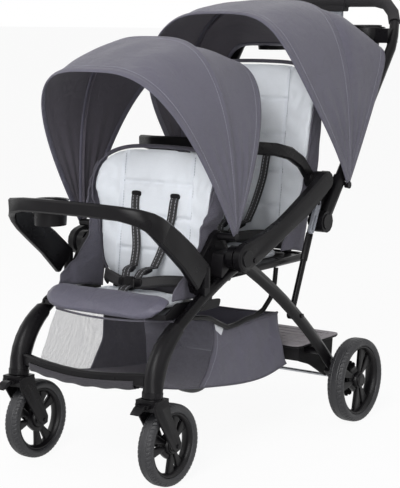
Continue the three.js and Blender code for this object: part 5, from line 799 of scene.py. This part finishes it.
def back_pad(title):
    """A quilted back cushion: blown up flat, drawn in along its channels and two upright seams, then bent."""
    back, body = BACKS[title], title + "_backrest"
    height = back["height"] - PAD_FOOT
    name = title + "_back_cushion"
    item = pillow(name, lambda a, b: cushion_edge(back, a, b, 3, 4), PAD_LOW, PAD_THICK, 8.0)
    across, up, forward = blown(item, PAD_CAP)
    share = (up - PAD_FOOT) / height
    lines = [PAD_FOOT + height * (k / back["channels"]) for k in range(1, back["channels"])]
    facing = smooth((forward - PAD_LOW - 4) / 8)
    middle = smooth((SEAM_AT - np.abs(across)) / 6 + 0.5)
    pull = (6.0 * groove(up, lines, 5.0) + 3.0) * middle + 8.0 * groove(np.abs(across), [SEAM_AT], 4.2)
    tuft = 1.8 * np.sin(across / 21.0) * np.sin(up / 17.0) * middle
    ripple = 1.5 * np.sin(across / 6.3 + 1.7 * np.sin(up / 23.0)) * bell(up - lines[-1], 20)
    ripple += 1.3 * np.sin(up / 7.5 + 1.3 * np.sin(across / 19.0)) * (1 - middle) * smooth(share * 3)
    forward = np.maximum(forward - facing * (pull - tuft - ripple), PAD_LOW)
    across, forward = bent(back, across, share, forward)
    place_vertices(item, metres(on_back(back, across, up, forward)))
    dress(item, body, "quilt", stands_for=[title + "_backrest_pad"])
    side_seams(title, back, body)
    wings(title, back, body)


def on_pad(back, across, up, lift):
    """A place on a backrest's cushion, from its flat place."""
    x, forward = bent(back, across, (up - PAD_FOOT) / (back["height"] - PAD_FOOT), lift)
    return on_back(back, x, up, forward)


def side_seams(title, back, body):
    """Piping round the cushion's edge, a dark binding over its top, and a thread in each upright seam."""
    ring = oval(1, 1, 400, 5.0)
    ring = ring[np.argsort(np.mod(np.arctan2(ring[:, 1], ring[:, 0]) + math.pi / 2 - 1e-6, FULL_TURN))]
    a, b = ring[ring[:, 1] > -0.93].T
    across, up = cushion_edge(back, a, b, 0.5, 3)
    line = on_pad(back, across, up, PAD_LOW + 3)
    cord_line(title + "_back_piping", line, 2.4, body, "dark_cloth", "piping", 220, (0, 1, 0))
    over = (b + 1) / 2 > 0.93
    path = through(on_pad(back, across[over], up[over] + 1.5, PAD_LOW + 5), 110)
    item = swept(title + "_top_binding", path, oval(8.0, 4.6, 14), (0, 1, 0))
    dress(item, body, "dark_cloth", "binding")
    up = np.linspace(PAD_FOOT + 12, back["height"] - 14, 80)
    for s, word in SIDES:
        seam = on_pad(back, s * SEAM_AT, up, PAD_LOW + 15.5)
        cord_line(f"{title}_{word}_seam", seam, 0.8, body, "quilt", "quilt_thread", 80, (0, 1, 0))


def wings(title, back, body):
    """The liner's side panels. Each runs forwards from the cushion's edge by ahead·t, its middle bulging out
    by out·4t(1-t), with creases of sine waves across it."""
    share = np.linspace(0.0, 0.9, 44)[:, None]
    t = np.linspace(0, 1, 22)[None, :]
    up = PAD_FOOT - 19 + share * (back["height"] - PAD_FOOT + 13)
    curl = np.radians(along_height(back, "curl", share))
    edge = BEND_FROM + along_height(back, "reach", share) * np.sin(curl) / curl
    ahead, out = (np.interp(share, back["share"], back[key]) for key in ("ahead", "out"))
    crease = 2.2 * np.sin(share * 31 + 3 * t) * arch(t) + 1.5 * np.sin(share * 74 - 5 * t) * t
    x = np.minimum(edge + 3.5 + out * arch(t) + crease * 0.8, ROOM)
    forward = PAD_LOW - 2 + ahead * t
    _, y, z = np.moveaxis(on_back(back, x, up, forward), -1, 0)
    room = lerp(*INSIDE, smooth((PAST[0] - y) / (PAST[0] - PAST[1])))
    room = lerp(room, ROOM, smooth((z - back["wing_low"]) / 20))
    x = np.minimum(x, room - 1.6 + 0.5 * np.sin(9 * t + share * 40))
    for s, word in SIDES:
        points = on_back(back, s * x, up + 4 * np.sin(3 * t), forward)
        panel(f"{title}_{word}_wing", points[:, ::s], body, "stretched", 3.0, "melange")
        cord_line(f"{title}_{word}_wing_hem", points[:, -1], 2.4, body, "cloth", "piping")


def seat_cushion(title, y_front, y_back, z_low, half, thick, channels=3):
    """A quilted seat cushion: blown up flat, drawn in along its channels and a seam at each side."""
    depth = y_back - y_front

    def outline(a, b):
        return a * half * (1 - 0.05 * b**2), (b + 1) / 2 * depth

    item = pillow(title + "_seat_cushion", outline, 0.0, thick - 3, 6.0)
    across, rear, up = blown(item, 4)
    facing = smooth((up - thick * 0.45) / 6)
    lines = [depth * k / channels for k in range(1, channels)]
    up = up - facing * (4.0 * groove(rear, lines, 5.0) + 3.5 * groove(np.abs(across), [half * 0.56], 4.5))
    up = np.maximum(up + facing * 1.4 * np.sin(across / 19.0) * np.sin(rear / 15.0), 0.2)
    place_vertices(item, metres(points_at(across, rear, up) + (0, y_front, z_low)))
    dress(item, "frame", "quilt", stands_for=[title + "_seat_pad"])


back_pad("front")
back_pad("rear")
seat_cushion("front", 49, 173, 366.3, 130, 20)
seat_cushion("rear", 396, 549, 424.3, 132, 24)

# Calf rest: it rolls over the seat's front edge

CALF = {"half": 178, "rear": 62, "z": 340, "reach": 62, "rise": 48, "inset": 48, "thick": 17}


def calf_rest():
    """A pad on an elliptic roll: x = t·(w - inset·v^2.6), and y and z on the ellipse at 3 + 77v degrees,
    raised by a crown that falls to the edge on all sides."""
    item = pillow("calf_rest_cushion", lambda a, b: (a * 100, b * 100), 0, CALF["thick"], 5.0)
    place_vertices(item, vertices(item) * (1.6, 0.55, 1))
    across, along, lift = blown(item, 5)
    t = np.clip(across / 160, -1.02, 1.02)
    v = np.clip((along + 55) / 110, -0.02, 1.02)
    lift = np.clip(lift, 0, CALF["thick"]) + 0.9 * np.sin(across / 24 + np.sin(along / 9)) * (lift > 6)
    lift -= 2.6 * bell(v - 0.12, 0.035) * (lift > 5)
    turn = np.radians(lerp(3, 80, v))
    wide = CALF["half"] - 12 * (1 - np.clip(v, 0, 1)) ** 3 - CALF["inset"] * np.maximum(v, 0) ** 2.6
    y = CALF["rear"] - (CALF["reach"] + lift) * np.sin(turn)
    place_vertices(item, metres(points_at(t * wide, y, CALF["z"] + (CALF["rise"] + lift) * np.cos(turn))))
    dress(item, "frame", "cloth", stands_for=["calf_rest"])


calf_rest()

# Basket: netting in front, cloth behind, hung between the rails

SIDE_TOP = (
    (126, 2, 352), (140, 45, 346), (155, 110, 338), (158, 178, 331), (158, 240, 302), (158, 300, 292),
    (158, 392, 297), (157, 482, 296),
)
SIDE_LOW = (
    (157, -28, 214), (158, 30, 203), (158, 95, 189), (158, 200, 172), (158, 330, 155), (158, 430, 152),
    (157, 524, 165),
)
# Columns of points along a side, and the one where the netting ends
SIDE_COLUMNS, NET_END = 110, 46


def basket_side(s, word):
    """A side of the basket: lines from its top edge to its foot, lerp(top, foot, v), that belly out by
    5·4v(1-v) and carry folds of two sine waves. The front of it is netting and the rest is cloth, its inner
    face in the darker cloth as painted shade inside the basket."""
    down = np.linspace(0, 1, 26)
    border = lerp(0.445, 0.34, down) + 0.035 * np.sin(math.pi * down)
    last = SIDE_COLUMNS - 1
    column = np.arange(SIDE_COLUMNS)
    u = np.stack([np.interp(column, (0, NET_END, last), (0, share, 1)) for share in border])
    lines = [through(edge, SIDE_COLUMNS) for edge in (SIDE_TOP, SIDE_LOW)]
    top, low = (np.stack([np.interp(u * last, column, line[:, i]) for i in range(3)], -1) for line in lines)
    v = down[:, None]
    points = lerp(top, low, v[..., None])
    soft = arch(v)
    fold = 2.2 * np.sin(u * 26 + 2.5 * v) + 1.3 * np.sin(u * 61 - 4 * v) + 1.6 * np.sin(u * 15 + 9 * v)
    points[..., 0] = s * np.minimum(points[..., 0] - 3 + soft * (3 + fold * 0.9), 161)
    points[..., 1] -= 13 * soft * smooth((u - 0.8) / 0.2)
    net, back = points[:, : NET_END + 1], points[:, NET_END:]
    panel(f"basket_{word}_net", net[:, ::-s], "frame", "hung", 0, "side_netting")
    # The inner face takes the darker cloth: painted shade inside the basket.
    panel(f"basket_{word}_cloth", back[:, ::-s], "frame", "hung", 1.4, "cloth", "dark_cloth")
    for k, radius, finish in ((NET_END, 2.2, "piping"), (NET_END + 3, 0.5, "pale_thread")):
        line = points[:, k] + (s * 1.2, 0, 0)
        cord_line(f"basket_{word}_seam_{k}", line, radius, "frame", "cloth", finish, 60, (0, 1, 0))
    cord_line(f"basket_{word}_hem", points[0] + (0, 0, 1), 3.0, "frame", "dark_cloth", "piping", 140)
    cord_line(f"basket_{word}_foot_seam", points[-1], 2.0, "frame", "dark_cloth", "piping", 140)
    return points


def front_sleeve():
    """The hem that wraps the front crossbar from below: half an oval, (9.5·cos(a), -20·sin(a)^0.6), carried
    along the crossbar's own curve, with a lower edge that waves by 1.2·sin(x/9)."""
    bar = [(-188, -51, 242.5), (-94, -64.8, 233.5), (0, -69, 229), (94, -64.8, 233.5), (188, -51, 242.5)]
    x, y, z = through(bar, 90)[10:-10].T[..., None]
    turn = np.linspace(0, math.pi, 25)[None, :]
    deep = (19.5 + 1.2 * np.sin(x / 9)) * np.sin(turn) ** 0.6
    points = points_at(x, y - 9.5 * np.cos(turn), z - deep - 1)
    panel("basket_front_sleeve", points, "frame", "stretched", 1.2, "dark_cloth")


def basket():
    """Front and rear panels join the sides' end lines. The floor joins their feet and sags by 4·4t(1-t)."""
    near, far = (basket_side(s, word) for s, word in SIDES)
    across = np.linspace(0, 1, 60)[None, :, None]
    hang = arch(across)[..., 0]
    for word, column, bow, wall, finish in (("front", 0, -4, 0, "netting"), ("rear", -1, 5, 1.4, "cloth")):
        points = lerp(near[:, column][:, None], far[:, column][:, None], across)
        points[..., 1] += bow * hang
        points[..., 2] -= 6 * hang * np.linspace(1, 0, len(points))[:, None]
        if word == "front":
            points = points[:, ::-1]
        panel(f"basket_{word}", points, "frame", "hung", wall, finish)
        cord_line(f"basket_{word}_hem", points[0], 2.6, "frame", "dark_cloth", "piping", 90, (0, 1, 0))
    floor = lerp(near[-1][:, None], far[-1][:, None], across)
    floor[..., 2] -= (4 + 1.2 * np.sin(floor[..., 1] / 17)) * hang
    panel("basket_floor", floor[:, ::-1], "frame", "hung", 1.8, "lining", stands_for=["basket"])
    front_sleeve()
    spot = [(159.6, y, z) for y, z in ((212, 321), (250, 302), (240, 284), (218, 300))]
    item = thicken(one_face("basket_reflector", metres(spot).tolist()), 0.8, offset=1)
    dress(item, "frame", "cloth", "reflector")


basket()

# Harnesses

STRAP_GAP = 55


def strap(name, points, width, body, side=(1, 0, 0), thick=2.6, finish="webbing"):
    """A flat strap along a smooth line, its v running from -1 to 1 over the face."""
    shares = np.array([-1, -0.5, 0, 0.5, 1, 1, 0.5, 0, -0.5, -1])
    ring = np.stack([shares * width / 2, np.repeat([-thick / 2, thick / 2], 5)], 1)
    item = swept(name, through(points, 60), ring, side, [*shares, -1])
    return dress(item, body, "webbing", finish)


def rounded_bar(name, points, half_width, half_height, body, side, count=24):
    """A moulded piece along a short line, with a squarish section that closes in at both ends."""
    shrink = (1 - np.abs(np.linspace(-1, 1, count)) ** 6 * 0.55)[:, None, None]
    ring = oval(half_width, half_height, 24, 4.0) * shrink
    dress(swept(name, through(points, count), ring, side), body, "moulding")


def harness(title, y_seat, seat_top, top_share):
    """One seat's straps: the shoulder straps lie on the back, the lap and crotch straps on the seat, and the
    link straps run between the two with no body of their own."""
    back, backrest = BACKS[title], title + "_backrest"
    face = PAD_LOW + PAD_THICK + PAD_CAP
    top = top_share * back["height"]
    seat = np.array([0, y_seat, seat_top])
    buckle = seat + (0, -40, 20.0)
    for s, word in SIDES:
        name = f"{title}_{word}"
        across = s * (STRAP_GAP - np.array([0, 0, 5, 18, 26]))
        up = top * np.array([1, 1, 0.74, 0.46, 0.26]) + [4, -5, 0, 0, 0]
        shoulder = on_back(back, across, up, face + np.array([-10, 1, 3, 9, 24]))
        item = strap(name + "_shoulder_strap", shoulder, 21, backrest)
        if s > 0:
            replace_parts(item, title + "_harness")
        across = s * STRAP_GAP + np.array([-13, 0, 13])
        slot = on_back(back, across, top + np.array([3, 4, 3]), face - np.array([2, 1.5, 2]))
        rounded_bar(name + "_strap_slot", slot, 6.5, 3.0, backrest, (0, 0, 1))
        lap = np.array([(122, 40, 4), (118, 20, 24), (84, -18, 30), (40, -36, 24), (15, -40, 20)])
        lap = seat + lap * (s, 1, 1)
        strap(name + "_lap_strap", lap, 25, "frame", (0, 0.3, 1), 3.0, "plain_webbing")
        link = np.array([shoulder[-1], seat + (s * 22, -20, 48), seat + (s * 16, -36, 30)])
        item = strap(name + "_link_strap", link, 20, None)
        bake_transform(item)
        rounded_bar(name + "_adjuster", link[:2] * 0.65 + link[1:] * 0.35, 14, 4, backrest, (1, 0, 0))
        tab = buckle + [(s * 34, 2, 2), (s * 22, 0, 1), (s * 12, 0, 0)]
        rounded_bar(name + "_tongue", tab, 11, 3.4, "frame", (0, 0, 1))
    strap(title + "_crotch_strap", seat + [(0, -74, -2), (0, -60, 12), (0, -42, 16)], 26, "frame")
    body = buckle + [(0, -3, -16), (0, 0, 0), (0, 2, 16)]
    rounded_bar(title + "_buckle", body, 17, 7, "frame", (1, 0, 0))


harness("front", 150, 386, 0.665)
harness("rear", 520, 446, 0.5)

# Wheels: depth of the tyre, width of the rim as a share of the tyre's, and depth and radii of the rim's parts
TYRE_DEEP, RIM_SHARE, BARREL, HUB, CAP, BORE = 19, 0.74, 8, 21, 17, 5.2
# Degrees from a pair's middle to its ribs, half a rib's degrees seen from the axle, and the first pair's turn
RIB_TURN, RIB_HALF, FIRST_PAIR = 16, 10.6, 50
# Brake disc
DISC, DISC_THICK, TOOTH, TEETH = 44, 5, 4, 14


def turned(profile, centre, steps, lower=None):
    """A closed profile of (radius, across) turned round an axle along x: y + r·cos(a), z + r·sin(a). lower
    gives how much shorter the radius is at a turn, a radius and a place across."""
    turn = round_turn(steps)[:, None]
    radius, across = np.asarray(profile, float).T
    if lower:
        radius = radius - lower(turn, radius, across)
    x, y, z = centre
    return points_at(x + across, y + radius * np.cos(turn), z + radius * np.sin(turn))


def hoop(name, *shape):
    """The surface of a turned profile."""
    return surface(name, turned(*shape), "hoop")


def mirrored(side):
    """A profile and its mirror image."""
    return side + [(r, -a) for r, a in side[::-1]]


def together(name, items):
    """One piece of several closed surfaces."""
    work = bmesh.new()
    for item in items:
        work.from_mesh(item.data)
        bpy.data.objects.remove(item)
    mesh = bpy.data.meshes.new(name)
    work.to_mesh(mesh)
    work.free()
    mesh.shade_smooth()
    mesh.set_sharp_from_angle(angle=math.radians(38))
    return linked(name, mesh)


def tyre(corner, radius, width, centre):
    """A tyre: a smooth section through its seat, shoulders and crown, with two grooves round it and short
    sipes cut into its shoulders."""
    seat, half = radius - TYRE_DEEP, width / 2
    shares = ((0, 0.8), (0.16, 0.94), (0.34, 1), (0.6, 0.985), (0.84, 0.86), (0.97, 0.55), (1, 0.28), (1, 0))
    side = [(seat + deep * TYRE_DEEP, -wide * half, 0) for deep, wide in shares]
    profile = through(side + [(r, -a, 0) for r, a, _ in side[-2::-1]], 91)[:, :2]
    profile[:, 0] = np.clip(profile[:, 0], seat, radius - 0.05)

    def lower(turn, r, across):
        share = np.abs(across) / half
        sipe = smooth((np.cos(turn * 54 + 5 * share) - 0.45) * 4) * smooth((share - 0.46) * 9)
        return 1.5 * smooth((r - seat - 12) / 3) * np.maximum(bell(share - 0.36, 0.05), sipe)

    item = hoop(corner + "_rubber_tyre", profile, centre, 432, lower)
    dress(item, corner + "_wheel", "rubber", stands_for=[corner + "_tyre"])


def rim(corner, radius, width, centre, out, disc):
    """A rim: a dished barrel with lips, three pairs of ribs, a lobed hub and a domed cap. On a braked wheel a
    toothed disc and its neck stand on the inner side."""
    outer = radius - TYRE_DEEP - 0.35
    half = width * RIM_SHARE / 2
    inner = outer - BARREL
    x, y, z = centre
    lip = [(outer, 1 - half), (outer - 1, -half), (outer - 3.5, -half), (outer - 5, 1.5 - half)]
    barrel = mirrored(lip + [(inner, -half * 0.55), (inner - 1, -3)])
    parts = [hoop("barrel", barrel + [(outer, 0)], centre, 150)]
    run = np.linspace(HUB - 3, inner + 1.5, 14)
    lean = out * 3.2 * (1 - smooth((run - run[0]) / (run[-1] - run[0])))
    ring = oval(1, 1, 20, 5) * points_at(run * math.tan(math.radians(RIB_HALF)), 5.5)[:, None]
    for pair in range(3):
        for side in (-1, 1):
            turn = math.radians(FIRST_PAIR + 120 * pair + side * RIB_TURN)
            path = points_at(x + lean, y + run * math.cos(turn), z + run * math.sin(turn))
            parts.append(swept("rib", path, ring, (0, -math.sin(turn), math.cos(turn))))
    hub = mirrored([(BORE, -half), (18, -half), (20, 2 - half), (21, -6), (28, -4.5), (31, -3.4)])

    def lobes(turn, r, across):
        return -2.6 * np.cos(3 * (turn - math.radians(FIRST_PAIR))) * smooth((r - 19) / 8)

    parts.append(hoop("hub", hub, centre, 120, lobes))
    dome = [
        (CAP, -2), (17, 2), (16.2, 3.2), (15, 3.8), (12.5, 3.8), (11.5, 3), (10.8, 3), (10, 3.9), (5, 4),
        (0.4, 4),
    ]
    shell = turned([(r, out * (half + rise)) for r, rise in dome], centre, 60).transpose(1, 0, 2)
    parts.append(surface("cap", shell, "tube"))
    if disc:
        near = -out * (width / 2 - DISC_THICK)
        far = near - out * DISC_THICK

        def notched(turn, r, across):
            return TOOTH * smooth(0.5 - 1.4 * np.cos(turn * TEETH)) * smooth((r - 34) / 6)

        plate = [
            (20, near), (DISC - 0.8, near), (DISC, near - out * 0.8), (DISC, far + out * 0.8),
            (DISC - 0.8, far), (34, far), (32, far + out * 1.4), (24, far + out * 1.4), (22, far), (20, far),
        ]
        parts.append(hoop("disc", plate, centre, 14 * TEETH, notched))
        parts.append(hoop("neck", [(BORE, -out * 2), (20.5, -out * 2), (20.5, far), (BORE, far)], centre, 90))
    item = together(corner + "_moulded_rim", parts)
    dress(item, corner + "_wheel", "rim", stands_for=[corner + "_rim"])


for s, word in SIDES:
    for end, radius, width, x, y in (("front", 90, 36, 188, 0), ("rear", 104, 43, 247, 696)):
        tyre(f"{word}_{end}", radius, width, (s * x, y, radius))
        rim(f"{word}_{end}", radius, width, (s * x, y, radius), s, end == "rear")

# Rims of the cup holders


def cup_rim(name, place, radius, tube, body):
    """A ring: (R + t·cos(a)) round the cup's axis and t·sin(a) up."""
    around = round_turn(72)[:, None]
    side, rise = oval(tube, tube * 0.8, 12).T
    x, y, z = place
    points = points_at(x + (radius + side) * np.cos(around), y + (radius + side) * np.sin(around), z + rise)
    dress(surface(name, points, "hoop"), body, "moulding", "rim_gloss")


for s, word in SIDES:
    cup_rim(f"parent_tray_{word}_rim", (s * 136, 905, 970.5), 44, 2.6, "handle")
cup_rim("front_tray_rim", (-96, -46, 602.5), 39.5, 2.2, "front_tray")

# Rigid pieces: rounded copies of the nodes that nothing else stands for

body_of = {node: body for body, nodes in frame["record"]["behaviour"]["bodies"].items() for node in nodes}
slot_of = {part["node"]: part["material_slot"] for part in frame["record"]["subparts"]}
done = {node for item in bpy.data.objects for node in item.get("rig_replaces", [])}
for node in frame["nodes"]:
    if node not in done:
        covered = "board" in node and "back" in node
        finer(node, body_of[node], slot_of[node], "dark_cloth" if covered else slot_of[node])

# Floor, light and camera

WHITE = (1, 1, 1, 1)
FLOOR_GLOW, SKY_LIGHT = 0.93, 0.33


def bright_where_seen(net, share, plain, bright, output):
    """Rays from the camera, gloss and clear surfaces meet the bright shader by a share, others the plain."""
    rays = net.add("ShaderNodeLightPath").socket.node.outputs
    kinds = ("Camera", "Glossy", "Transmission")
    direct, gloss, clear = (Value(net, rays[f"Is {kind} Ray"]) for kind in kinds)
    seen = direct.math("MAXIMUM", gloss).math("MAXIMUM", clear) * share
    both = net.add("ShaderNodeMixShader", {0: seen, 1: plain, 2: bright})
    net.add(output, {"Surface": both})
    return net.owner


net = Net("floor")
plain = net.add("ShaderNodeBsdfDiffuse", {"Color": (0.9, 0.9, 0.9, 1)})
glow = net.add("ShaderNodeEmission", {"Color": WHITE, "Strength": 1.0})
floor = one_face("floor", [(-60, -60, 0), (60, -60, 0), (60, 60, 0), (-60, 60, 0)])
floor.data.materials.append(bright_where_seen(net, FLOOR_GLOW, plain, glow, "ShaderNodeOutputMaterial"))

net = Net("studio", bpy.data.worlds)
skies = [net.add("ShaderNodeBackground", {"Color": WHITE, "Strength": s}) for s in (SKY_LIGHT, 1.0)]
scene.world = bright_where_seen(net, 1.0, *skies, "ShaderNodeOutputWorld")


def aimed(item, place, aim):
    item.location = place
    item.rotation_euler = (Vector(aim) - Vector(place)).to_track_quat("-Z", "Y").to_euler()
    return item


for name, place, aim, size, power in (
    ("key", (1.0, -3.1, 2.5), 0.5, 1.5, 84),
    ("front", (1.7, -3.4, 1.0), 0.5, 1.6, 34),
    ("side", (3.2, -0.2, 1.7), 0.5, 1.8, 9),
    ("far", (-2.8, -1.6, 1.8), 0.6, 1.8, 20),
    ("over", (0, 1.0, 3.4), 0.5, 2.2, 20),
):
    light = bpy.data.lights.new(name, "AREA")
    light.shape = "SQUARE"
    light.size, light.energy = size, power
    aimed(linked(name, light), place, (0, 0, aim))

CAMERA_PLACE = (2107.9, -2570.6, 1015.9)
CAMERA_AIM = (0, 380.5, 461.0)
FOCAL_PIXELS = 1544.8
FRAME_HEIGHT = 488
lens = bpy.data.cameras.new("camera")
lens.sensor_width = 36
lens.lens = lens.sensor_width * FOCAL_PIXELS / FRAME_HEIGHT
scene.camera = aimed(linked("camera", lens), metres(CAMERA_PLACE), metres(CAMERA_AIM))
scene.view_settings.view_transform = "Standard"
